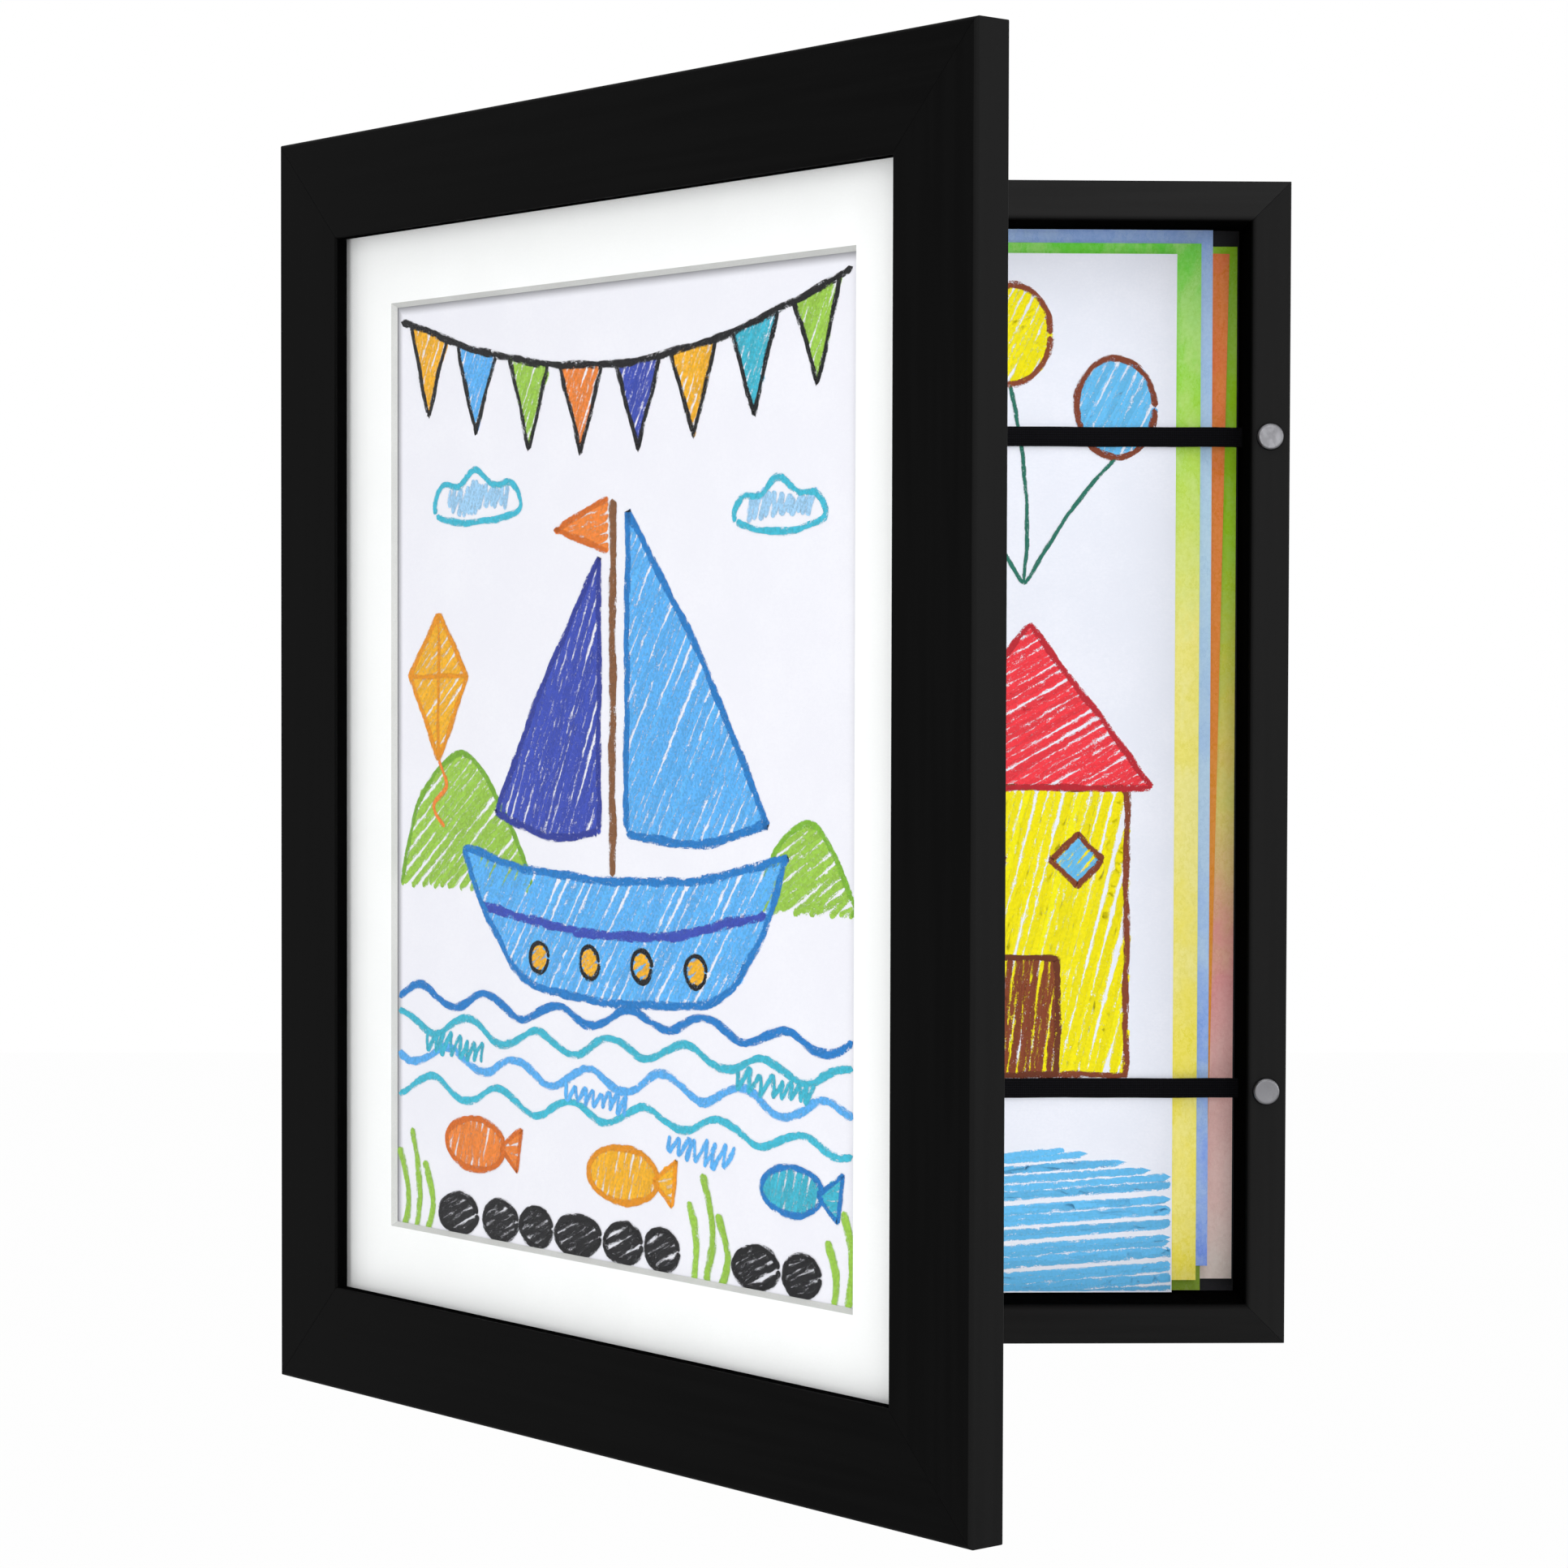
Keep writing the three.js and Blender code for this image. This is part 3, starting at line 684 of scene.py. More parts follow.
def tooth_group() -> bpy.types.NodeTree:
    """The tooth of paper or board: felted lumps with short fibres between them.

    Returns:
        The group, with a height for bumps and a slow shade of the pulp.
    """
    group = EffectGroup("tooth_group", ("Height", "Shade"), Place="Vector", Fineness="Float")
    place, fineness = group.given
    bent = place.vector("ADD", group.value("TexNoise", {"Vector": place, "Scale": 0.5}, "Color"))
    fibre = bent.stretched(0.35, 1.0, 2.4).noise(fineness)
    return group.closed(place.noise(fineness, 4.0, 0.62) * 0.7 + fibre * 0.3, place.noise(0.05, 3.0))


def cover_group() -> bpy.types.NodeTree:
    """How fully a crayon stroke covers the paper.

    Wax catches on the paper's tooth, drags in streaks along the stroke and crumbles at its edges:
    cover = smooth step of (0.9 tooth + 0.9 streak + pressure - 0.34 |edge|^2.4).

    Returns:
        The group, with the cover from 0 to 1.
    """
    group = EffectGroup("cover_group", ("Cover",), Place="Vector", Stroke="Vector", Pressure="Float")
    place, stroke, pressure = group.given
    tooth = place.noise(3.6, 2.0, 0.7)
    streak = stroke.stretched(0.26, 1.1, 1.0).noise(1.0, 2.0, 0.6)
    edge = stroke.parts()[1].math("ABSOLUTE").math("POWER", 2.4)
    return group.closed((tooth * 0.9 + streak * 0.9 + pressure - edge * 0.34).spread(0.68, 0.77))


def wash_group() -> bpy.types.NodeTree:
    """Water paint on paper: slow pools, darker rims where a pool dried, pigment that settled in the
    paper's hollows, and a ragged bleed.

    Returns:
        The group, with the pools, the rims, the pigment and an offset for the borders of colours.
    """
    group = EffectGroup("wash_group", ("Pool", "Rim", "Pigment", "Bleed"), Place="Vector")
    place = group.given[0]
    flat = place.stretched(1.0, 0.0, 0.6)
    slow, pool = flat.noise(0.045, 3.0, 0.55), flat.noise(0.14, 5.0, 0.65)
    rim = (pool - 0.5).math("ABSOLUTE").spread(0.016, 0.0)
    return group.closed((slow + pool * 0.8).spread(0.72, 1.06), rim,
                        place.noise(0.9, 4.0, 0.75).spread(0.38, 0.62), slow + pool * 0.5 - 0.75)


def brush_group() -> bpy.types.NodeTree:
    """Brushed or plated metal: fine lines along z and a slow cloud of the plating.

    Returns:
        The group, with a height for bumps and a cloud.
    """
    group = EffectGroup("brush_group", ("Height", "Cloud"), Place="Vector", Fineness="Float")
    place, fineness = group.given
    return group.closed(place.stretched(1.0, 1.0, 0.06).noise(fineness), place.noise(0.7, 3.0))


def wear_group() -> bpy.types.NodeTree:
    """Edge wear: a mask where a rounded normal departs from the true one, broken up by noise.

    Returns:
        The group, with the mask.
    """
    group = EffectGroup("wear_group", ("Mask",), Place="Vector", Radius="Float")
    place, radius = group.given
    rounded = group.value("Bevel", {"Radius": radius}, samples=4)
    match = rounded.vector("DOT_PRODUCT", group.value("NewGeometry", output="Normal"), "Value")
    return group.closed(match.spread(0.999, 0.93) * place.noise(0.35, 4.0).spread(0.35, 0.65, 0.45, 1.0))


def outline_group() -> bpy.types.NodeTree:
    """How far a place lies outside a rectangle: the larger of |x - cx| - hx and |z - cz| - hz.

    Returns:
        The group, with the distance, below 0 inside.
    """
    group = EffectGroup("outline_group", ("Distance",), Place="Vector", Centre="Vector", Half="Vector")
    place, centre, half = group.given
    x, _, z = place.vector("SUBTRACT", centre).vector("ABSOLUTE").vector("SUBTRACT", half).parts()
    return group.closed(x.math("MAXIMUM", z))


@dataclass(frozen=True)
class Finish:
    """A finish: the name of its material and the record's slot that it takes its finish from."""

    name: str
    slot: str

    def material(self) -> bpy.types.Material:
        """The finish's material, which is built at its first use.

        Returns:
            The material.
        """
        made = bpy.data.materials.get(self.name)
        if not made:
            made = bpy.data.materials.new(self.name)
            graph = blank_nodes(made)
            place = graph.value("Attribute", output="Vector", attribute_name="local")
            graph.add("OutputMaterial", {"Surface": self.shader(place)})
        return made

    def shader(self, place: Value) -> Value:
        """Builds the finish's shader. Each finish has its own.

        Args:
            place: the place on the piece, in millimetres of its sub-assembly.

        Returns:
            The shader.
        """
        raise NotImplementedError


@dataclass(frozen=True)
class Lacquer(Finish):
    """Matt lacquer on a wooden moulding: black film over faint grain that runs along the side, with a
    few specks of dust, and painted shade, nearly black, beside an opening."""

    colour: str = "#060606"
    shade: str = "#090909"
    roughness: float = 0.42
    gloss: float = 0.02
    along_x: bool = False
    # A rectangle (middle x and z, half sizes) towards which the lacquer gets painted shade
    opening: tuple[float, float, float, float] | None = None

    def shader(self, place: Value) -> Value:
        """Builds the lacquer's shader.

        Args:
            place: the place on the piece.

        Returns:
            The shader.
        """
        along = place
        if self.along_x:
            along = place.graph.value("Mapping", {"Vector": place, "Rotation": (0.0, math.pi / 2, 0.0)})
        grain = along.effect(grain_group, Fineness=2.2)
        dust = along.effect(dust_group, Amount=0.5)
        film = grain["Shade"].spread(0.35, 0.65).mix(self.colour, self.shade)
        film = (dust["Mask"] * 0.25).mix(film, "#3a3a3c")
        # Painted shade: the film turns nearly black within about 2 mm of the opening and inside it
        if self.opening:
            film = place.outside(self.opening, 2.0, -0.2).mix(film, "#010101")
        rough = grain["Shade"].spread(0.2, 0.8, self.roughness - 0.05, self.roughness + 0.07)
        return place.graph.principled({"Base Color": film, "Roughness": rough,
                                       "Specular IOR Level": self.gloss}, grain["Height"], 0.022)


@dataclass(frozen=True)
class Hardboard(Finish):
    """Nearly black hardboard: matt, felted, with a little dust."""

    def shader(self, place: Value) -> Value:
        """Builds the hardboard's shader.

        Args:
            place: the place on the piece.

        Returns:
            The shader.
        """
        tooth = place.effect(tooth_group, Fineness=1.6)
        dust = place.effect(dust_group, Amount=1.0)
        base = tooth["Shade"].mix("#252528", "#303034")
        base = (dust["Mask"] * 0.5).mix(base, "#565453")
        return place.graph.principled({"Base Color": base, "Roughness": 0.8, "Specular IOR Level": 0.25},
                                      tooth["Height"], 0.12)


@dataclass(frozen=True)
class Board(Finish):
    """Paper or board with a fine tooth and a slow change of its pulp. Its hollows are a little darker,
    painted shade, and a painted shadow lies near a mat's window.
    """

    colour: str = "#f8f8f8"
    shade: str = "#f1f1f1"
    fineness: float = 1.4
    depth: float = 0.03
    # A mat's window (middle x and z, half sizes), near which a painted shadow darkens the board
    window: tuple[float, float, float, float] | None = None

    def shader(self, place: Value) -> Value:
        """Builds the board's shader.

        Args:
            place: the place on the piece.

        Returns:
            The shader.
        """
        tooth = place.effect(tooth_group, Fineness=self.fineness)
        # Darker where the tooth is low: painted shade in its hollows, mixed with the pulp's slow change
        mottle = (tooth["Height"] * 0.6 + tooth["Shade"] * 0.5).spread(0.45, 0.75)
        base = mottle.mix(self.shade, self.colour)
        # Painted shadow: the board darkens towards the mat's window edge and under the mat
        if self.window:
            base = (place.outside(self.window, -3.0, 0.2) * 0.62).mix(base, "#1c1c22")
        return place.graph.principled({"Base Color": base, "Roughness": 0.85, "Specular IOR Level": 0.2},
                                      tooth["Height"], self.depth)


@dataclass(frozen=True)
class WashedPaper(Finish):
    """Drawing paper painted in bands of water paint, from the sheet's bottom to its top.

    The bands are percentages of the height, from 0 to 100, each with its colour. Their borders are
    ragged, and over them lie pale pools, dark rims and settled pigment."""

    bands: str = "0 #ffffff 100 #ffffff"
    pool: str = "#ffffff"
    pool_share: float = 0.3
    half_height: float = 158.75
    bleed: float = 0.25

    def shader(self, place: Value) -> Value:
        """Builds the painted paper's shader.

        Args:
            place: the place on the piece.

        Returns:
            The shader.
        """
        graph = place.graph
        wash = place.effect(wash_group)
        up = graph.value("MapRange", {0: place.parts()[2], 1: -self.half_height, 2: self.half_height,
                                      3: 0.0, 4: 1.0})
        ramp = graph.add("ValToRGB", {0: up + wash["Bleed"] * self.bleed})
        words = self.bands.split()
        for percent in words[2:-2:2]:
            ramp.color_ramp.elements.new(float(percent) / 100)
        for element, code in zip(ramp.color_ramp.elements, words[1::2]):
            element.color = linear(code)
        paint = (wash["Pool"] * self.pool_share).mix(Value(graph, ramp.outputs[0]), self.pool)
        rich = graph.value("HueSaturation", {"Color": paint, "Value": 0.88, "Saturation": 1.2})
        paint = (wash["Rim"] * 0.5).mix(paint, rich)
        paint = (wash["Pigment"] * 0.35).mix(paint, rich)
        tooth = place.effect(tooth_group, Fineness=1.3)
        return place.graph.principled({"Base Color": paint, "Roughness": 0.88, "Specular IOR Level": 0.15},
                                      tooth["Height"], 0.04)


@dataclass(frozen=True)
class CrayonWax(Finish):
    """Wax crayon, missing in the hollows of the paper's tooth and crumbled at its edges. Each stroke
    carries its colour, and its pressure as alpha."""

    body: float = 0.96
    deep: float = 0.8

    def shader(self, place: Value) -> Value:
        """Builds the wax's shader.

        Args:
            place: the place on the piece.

        Returns:
            The shader.
        """
        graph = place.graph
        stroke = graph.value("UVMap", uv_map="Stroke")
        tint = graph.value("Attribute", output="Color", attribute_name="Crayon")
        press = graph.value("Attribute", output="Alpha", attribute_name="Crayon")
        cover = place.effect(cover_group, Stroke=stroke, Pressure=press)["Cover"]
        deep = graph.value("HueSaturation", {"Color": tint, "Value": self.deep})
        layer = place.noise(1.3, 3.0).spread(0.38, 0.6).mix(deep, tint)
        return graph.principled({"Base Color": layer, "Alpha": cover * self.body, "Roughness": 0.6,
                                 "Specular IOR Level": 0.15})


@dataclass(frozen=True)
class Metal(Finish):
    """Plated metal with fine lines along z. The plating clouds its colour and its gloss, and it is
    brighter where edges are rubbed."""

    colour: str = "#a8a8a8"
    roughness: float = 0.32
    fineness: float = 7.0
    cloud: str = "#c2c2c4"

    def shader(self, place: Value) -> Value:
        """Builds the metal's shader.

        Args:
            place: the place on the piece.

        Returns:
            The shader.
        """
        brush = place.effect(brush_group, Fineness=self.fineness)
        wear = place.effect(wear_group, Radius=0.00025)
        base = (wear["Mask"] * 0.5).mix(brush["Cloud"].mix(self.colour, self.cloud), "#dededf")
        rough = brush["Cloud"].spread(0.3, 0.7, self.roughness - 0.05, self.roughness + 0.08)
        return place.graph.principled({"Base Color": base, "Metallic": 1.0, "Roughness": rough},
                                      brush["Height"], 0.006)


@dataclass(frozen=True)
class Knitted(Finish):
    """Black knitted elastic: ribs along the tape, each a row of small slanting stitches.

    With x along the tape and z across it, the height is |sin(pi z / rib)| times a wave along x that
    leans from rib to rib, and a little fuzz."""

    rib: float = 0.72
    stitch: float = 0.6

    def shader(self, place: Value) -> Value:
        """Builds the elastic's shader.

        Args:
            place: the place on the piece.

        Returns:
            The shader.
        """
        x, _, z = place.parts()
        across = z * (1 / self.rib)
        rib = (across * math.pi).math("SINE").math("ABSOLUTE")
        lean = across.math("PINGPONG", 1.0) * 2.4
        stitch = (x * (2 * math.pi / self.stitch) + lean).math("SINE") * 0.35 + 0.65
        height = rib * stitch + place.noise(6.0) * 0.25
        # Darker in the hollows between stitches and ribs, lighter on the raised ones: painted shade
        base = height.spread(0.2, 0.9).mix("#070708", "#131317")
        return place.graph.principled({"Base Color": base, "Roughness": 0.85, "Specular IOR Level": 0.04},
                                      height, 0.12)


@dataclass(frozen=True)
class ClearGlass(Finish):
    """Clear picture glass with a coating that takes away most of its reflection. It lets shadow rays
    and diffuse light straight through, as a thin pane does."""

    def shader(self, place: Value) -> Value:
        """Builds the glass's shader.

        Args:
            place: the place on the piece.

        Returns:
            The shader.
        """
        graph = place.graph
        smear = place.noise(0.05, 3.0).spread(0.4, 0.8, 0.01, 0.035)
        pane = graph.principled({"Base Color": "#ffffff", "Roughness": smear, "IOR": 1.13,
                                "Transmission Weight": 1.0})
        path = graph.add("LightPath").outputs
        through = Value(graph, path["Is Shadow Ray"]).math("MAXIMUM", Value(graph, path["Is Diffuse Ray"]))
        clear = graph.value("BsdfTransparent", {"Color": (0.985, 0.992, 0.99, 1.0)})
        return graph.value("MixShader", {0: through, 1: pane, 2: clear})


# The door's black is darker than the box's walls': painted shade and painted light for the light on each
DOOR_STILE = Lacquer("black_door_stile", "black_wood")
DOOR_RAIL = Lacquer("black_door_rail", "black_wood", along_x=True)
# Painted light: the door's free edge gets a lighter black than its front
LIT_DOOR_EDGE = Lacquer("black_door_edge_painted_light", "black_wood", "#141414", "#161616")
# The box's opening, towards which its walls get painted shade
CAVITY = (0.0, 0.0, 131.4, 163.15)
WALL_UPRIGHT = Lacquer("black_box_upright", "black_wood", "#1a1a1a", "#1c1c1c", opening=CAVITY)
# Painted light: the top wall's black is lighter than the uprights'
LIT_WALL_TOP = Lacquer("black_box_top_painted_light", "black_wood", "#202020", "#232323", along_x=True, opening=CAVITY)
# Painted shade: the bottom wall's black is darker than the uprights'
SHADED_WALL_BOTTOM = Lacquer("black_box_bottom_painted_shade", "black_wood", "#161616", "#181818", along_x=True, opening=CAVITY)
# Painted shade: faces inside the openings get a nearly black lacquer without gloss
SHADED_INSIDE = Lacquer("black_inside_painted_shade", "black_wood", "#040404", "#060606", gloss=0.0)
PANEL_BLACK = Hardboard("black_hardboard", "black_panel")
MAT_FACE = Board("white_mat_board", "mat_white", "#fefefe", "#fbfbfb", 1.4, 0.02)
MAT_CORE = Board("mat_board_core", "mat_white", "#d0d0ce", "#c6c6c4", 2.4, 0.05)
# Painted shadow near the mat's window, its rectangle shifted right and down so it is darker at left and top
PICTURE_PAPER = Board("lavender_white_paper", "paper_picture", "#f1f0f7", "#edecf4", 1.3, 0.03,
                      window=(1.2, -1.2, 101.6, 133.35))
STORED_PAPER = Board("cool_white_paper", "paper_white", "#eff2fc", "#e9edf8", 1.3, 0.03)
PLAIN_LEAF = Board("plain_leaf", "paper_white", "#e8e6e0", "#dedcd6", 1.3, 0.03)
BACKING = Board("grey_brown_board", "backing", "#6c5e4e", "#625546", 0.9, 0.08)
WAX = CrayonWax("crayon_wax", "paper_picture")
SOFT_WAX = CrayonWax("soft_crayon_wax", "paper_white", 0.93, 0.92)
NICKEL = Metal("satin_nickel", "nickel", "#5e5e61", 0.42, 5.0, "#78787b")
ZINC = Metal("zinc_plate", "zinc_steel", "#98989b", 0.36, 7.0)
ELASTIC = Knitted("black_elastic_tape", "black_elastic")
GLASS = ClearGlass("clear_sheet_glass", "clear_glass")


# ---- Crayon drawings ------------------------------------------------------------------------


def smooth_path(points: Sequence[tuple[float, float]], steps: int = 120, closed: bool = False) -> Array:
    """A smooth curve through given points.

    Between points 1 and 2 it is the Catmull-Rom cubic
    (2 p1 + (p2 - p0) t + (2 p0 - 5 p1 + 4 p2 - p3) t^2 + (3 p1 - p0 - 3 p2 + p3) t^3) / 2.

    Args:
        points: the points that it runs through.
        steps: how many points the curve gets.
        closed: whether it returns to its first point.

    Returns:
        The curve's points.
    """
    given = np.array(points, float)
    if closed:
        around = np.concatenate([given[-1:], given, given[:2]])
    else:
        around = np.concatenate([2 * given[:1] - given[1:2], given, 2 * given[-1:] - given[-2:-1]])
    spans = len(around) - 3
    place = np.linspace(0, spans, steps)
    index = np.minimum(place.astype(int), spans - 1)
    t = (place - index)[:, None]
    p0, p1, p2, p3 = (around[index + k] for k in range(4))
    return 0.5 * (2 * p1 + (p2 - p0) * t + (2 * p0 - 5 * p1 + 4 * p2 - p3) * t ** 2
                  + (3 * p1 - p0 - 3 * p2 + p3) * t ** 3)


def straight_path(points: Sequence[tuple[float, float]], steps: int = 90) -> Array:
    """Points at even distances along straight lines between given corners.

    Args:
        points: the corners.
        steps: how many points the path gets.

    Returns:
        The path's points.
    """
    given = np.array(points, float)
    along = np.concatenate([[0], np.cumsum(np.linalg.norm(np.diff(given, axis=0), axis=1))])
    place = np.linspace(0, along[-1], steps)
    return np.stack([np.interp(place, along, given[:, k]) for k in (0, 1)], 1)


@dataclass
class Crayons:
    """Crayon strokes gathered one after the other, each a flat ribbon a little above the last."""

    seed: int
    half_width: float
    half_height: float
    lift: float = 0.02
    rise: float = 0.00025
    strokes: list[Patch] = field(default_factory=list)
    drawn: int = 0

    def __post_init__(self) -> None:
        """Seeds the hand's unsteadiness."""
        self.hand = np.random.default_rng(self.seed)

    def add(self, lines: Array, half: float, colour: str, sway: float = 0.2,
            pressure: float = 0.02) -> None:
        """Adds ribbons along centre lines that sway by a sum of two sines.

        At the distance s along a line of length L the half width is
        half (1 + 0.12 sin(s/3.3 + p)) sqrt(1 - (1 - min(s, L - s)/half)^2), the root near the ends only.

        Args:
            lines: the centre lines, strokes by points by two.
            half: a stroke's half width.
            colour: the wax's colour code.
            sway: how far the hand sways.
            pressure: how hard it presses, from about -0.1 to 0.2.
        """
        count, steps = lines.shape[:2]
        step = np.diff(lines, axis=1)
        along = np.concatenate([np.zeros((count, 1)),
                                np.cumsum(np.hypot(step[..., 0], step[..., 1]), 1)], 1)
        tangent = np.gradient(lines, axis=1)
        tangent /= np.maximum(np.linalg.norm(tangent, axis=-1, keepdims=True), 1e-9)
        normal = np.stack([-tangent[..., 1], tangent[..., 0]], -1)
        phase = self.hand.uniform(0, 2 * math.pi, (count, 1, 3)).transpose(2, 0, 1)
        drift = sway * (np.sin(along / 6.1 + phase[0]) + 0.5 * np.sin(along / 2.3 + phase[1]))
        centre = lines + normal * drift[..., None]
        reach = np.clip(np.minimum(along, along[:, -1:] - along) / half, 0, 1)
        width = half * (1 + 0.12 * np.sin(along / 3.3 + phase[2])) * np.sqrt(1 - (1 - reach) ** 2)
        edges = np.stack([centre + normal * width[..., None], centre - normal * width[..., None]], 2)
        edges = np.clip(edges, (-self.half_width, -self.half_height), (self.half_width, self.half_height))
        order = self.drawn + np.arange(count)
        level = np.broadcast_to((self.lift + self.rise * order)[:, None, None, None], (count, steps, 2, 1))
        points = np.concatenate([edges[..., :1], level, edges[..., 1:]], -1).reshape(-1, 3)
        across = np.broadcast_to(np.array([1.0, -1.0]), (count, steps, 2))
        shifted = along + self.hand.uniform(0, 400, (count, 1))
        mapping = np.stack([np.broadcast_to(shifted[..., None], across.shape), across], -1).reshape(-1, 2)
        shade = np.array(linear(colour))[None, :3] * self.hand.uniform(0.9, 1.05, (count, 1))
        press = self.hand.uniform(pressure - 0.02, pressure + 0.03, (count, 1))
        tint = np.repeat(np.clip(np.concatenate([shade, press], 1), 0, 1), steps * 2, 0)
        faces = grid_faces(steps, 2)[None] + np.arange(count)[:, None, None] * (steps * 2)
        self.strokes.append(replace(plain_patch(points, faces.reshape(-1, 4).tolist()), mapping=mapping,
                                    colour=tint, closed=False))
        self.drawn += count

    def line(self, path: Array, half: float, colour: str, sway: float = 0.2,
             pressure: float = 0.05) -> None:
        """Adds one stroke along a path."""
        self.add(path[None], half, colour, sway, pressure)

    def legs(self, start: Array, end: Array, half: float, colour: str, bow: float = 0.3,
             pressure: float = 0.02) -> None:
        """Adds bowed strokes a + (b - a) t + bow sin(pi t) n between two rows of points, with
        t = (1 - cos(pi u)) / 2.

        Args:
            start: the strokes' first points.
            end: their last points.
            half: a stroke's half width.
            colour: the wax's colour code.
            bow: how far a stroke bows, either way.
            pressure: how hard the hand presses.
        """
        t = (1 - np.cos(math.pi * np.linspace(0, 1, 14))) / 2
        way = end - start
        normal = np.stack([-way[:, 1], way[:, 0]], 1) / np.maximum(np.linalg.norm(way, axis=1), 1e-9)[:, None]
        curve = self.hand.uniform(-bow, bow, (len(start), 1))
        lines = (start[:, None] + way[:, None] * t[None, :, None]
                 + normal[:, None] * (curve * np.sin(math.pi * t)[None])[..., None])
        self.add(lines, half, colour, 0.08, pressure)

    def hatch(self, outline: Array, pitch: float, degrees: float, half: float, colour: str,
              ragged: float = 0.5, loose: float = 0.3, pressure: float = 0.02) -> None:
        """Fills an outline with strokes: lines across it at the pitch, whose crossings with its edges,
        sorted along each line, bound the strokes in pairs.

        Args:
            outline: the closed outline.
            pitch: the distance from stroke to stroke.
            degrees: the strokes' direction.
            half: a stroke's half width.
            colour: the wax's colour code.
            ragged: how far the ends miss the outline.
            loose: how far a stroke may miss its place, as a share of the pitch.
            pressure: how hard the hand presses.
        """
        angle = math.radians(degrees)
        along = np.array([math.cos(angle), math.sin(angle)])
        across = np.array([-along[1], along[0]])
        s, t = outline @ along, outline @ across
        s_next, t_next = np.roll(s, -1), np.roll(t, -1)
        level = np.arange(t.min() + pitch / 2, t.max(), pitch)[:, None]
        level = level + self.hand.uniform(-loose, loose, level.shape) * pitch
        crossed = (t[None] - level) * (t_next[None] - level) < 0
        span = np.where(np.abs(t_next - t) < 1e-9, 1e-9, t_next - t)
        place = np.where(crossed, s[None] + (level - t[None]) / span[None] * (s_next - s)[None], np.inf)
        place = np.sort(place, axis=1)
        for pair in (0, 2):
            found = np.isfinite(place[:, pair:pair + 2]).all(1) if place.shape[1] > pair + 1 else None
            if found is None or not found.any():
                continue
            ends = place[found, pair:pair + 2] + self.hand.uniform(-ragged, ragged, (int(found.sum()), 2))
            lean = pitch * 0.5 * np.where(np.arange(len(ends)) % 2 == 0, 1.0, -1.0)
            start = ends[:, :1] * along + (level[found] - lean[:, None] / 2) * across
            end = ends[:, 1:] * along + (level[found] + lean[:, None] / 2) * across
            self.legs(start, end, half, colour, 0.3, pressure)

    def scribble(self, first: tuple[float, float], last: tuple[float, float], reach: float,
                 degrees: float, half: float, colour: str, pitch: float = 2.0) -> None:
        """Adds a zigzag scribble, whose turns swing to either side of a line.

        The turns lie uneven steps apart along the line, and their reach is
        reach (0.72 + 0.2 sin(turn / 4 + x) + a random share).

        Args:
            first: where the line starts.
            last: where it ends.
            reach: how far a turn lies from the line.
            degrees: the legs' direction.
            half: a stroke's half width.
            colour: the wax's colour code.
            pitch: the mean distance from turn to turn.
        """
        ends = np.array([first, last], float)
        length = float(np.linalg.norm(ends[1] - ends[0]))
        count = max(int(length / pitch), 3)
        share = np.cumsum(self.hand.uniform(0.45, 1.55, count))
        spine = ends[0] + (ends[1] - ends[0]) * (share / share[-1])[:, None]
        angle = math.radians(degrees)
        swing = reach * (0.72 + 0.2 * np.sin(np.arange(count) / 4 + ends[0, 0])
                         + self.hand.uniform(-0.16, 0.2, count))
        sign = np.where(np.arange(count) % 2 == 0, 1.0, -1.0)
        turns = spine + (sign * swing)[:, None] * np.array([math.cos(angle), math.sin(angle)])
        self.legs(turns[:-1], turns[1:], half, colour, 0.5)

    def laid(self, surface: Callable[[Array], Array], finish: int) -> list[Patch]:
        """Lays the strokes on a sheet, each at the sheet's y less its own height.

        Args:
            surface: gives the sheet's front surface y at points of x and z.
            finish: the wax's finish number.

        Returns:
            The ribbons, which face the viewer.
        """
        return [replace(stroke, finish=stroke.finish + finish, points=np.stack(
            [stroke.points[:, 0], surface(stroke.points[:, [0, 2]]) - stroke.points[:, 1],
             stroke.points[:, 2]], 1)) for stroke in self.strokes]


def ellipse(x: float, z: float, wide: float, high: float, lean: float = 0.0, steps: int = 80) -> Array:
    """An ellipse: (wide cos a, high sin a), turned by the lean.

    Args:
        x: its middle.
        z: its middle's height.
        wide: its half width.
        high: its half height.
        lean: how far it leans, in degrees.
        steps: how many points it gets.

    Returns:
        The outline's points.
    """
    angle = np.linspace(0, 2 * math.pi, steps)
    flat = np.stack([wide * np.cos(angle), high * np.sin(angle)], 1)
    c, s = math.cos(math.radians(lean)), math.sin(math.radians(lean))
    return flat @ np.array([[c, s], [-s, c]]) + np.array([x, z])


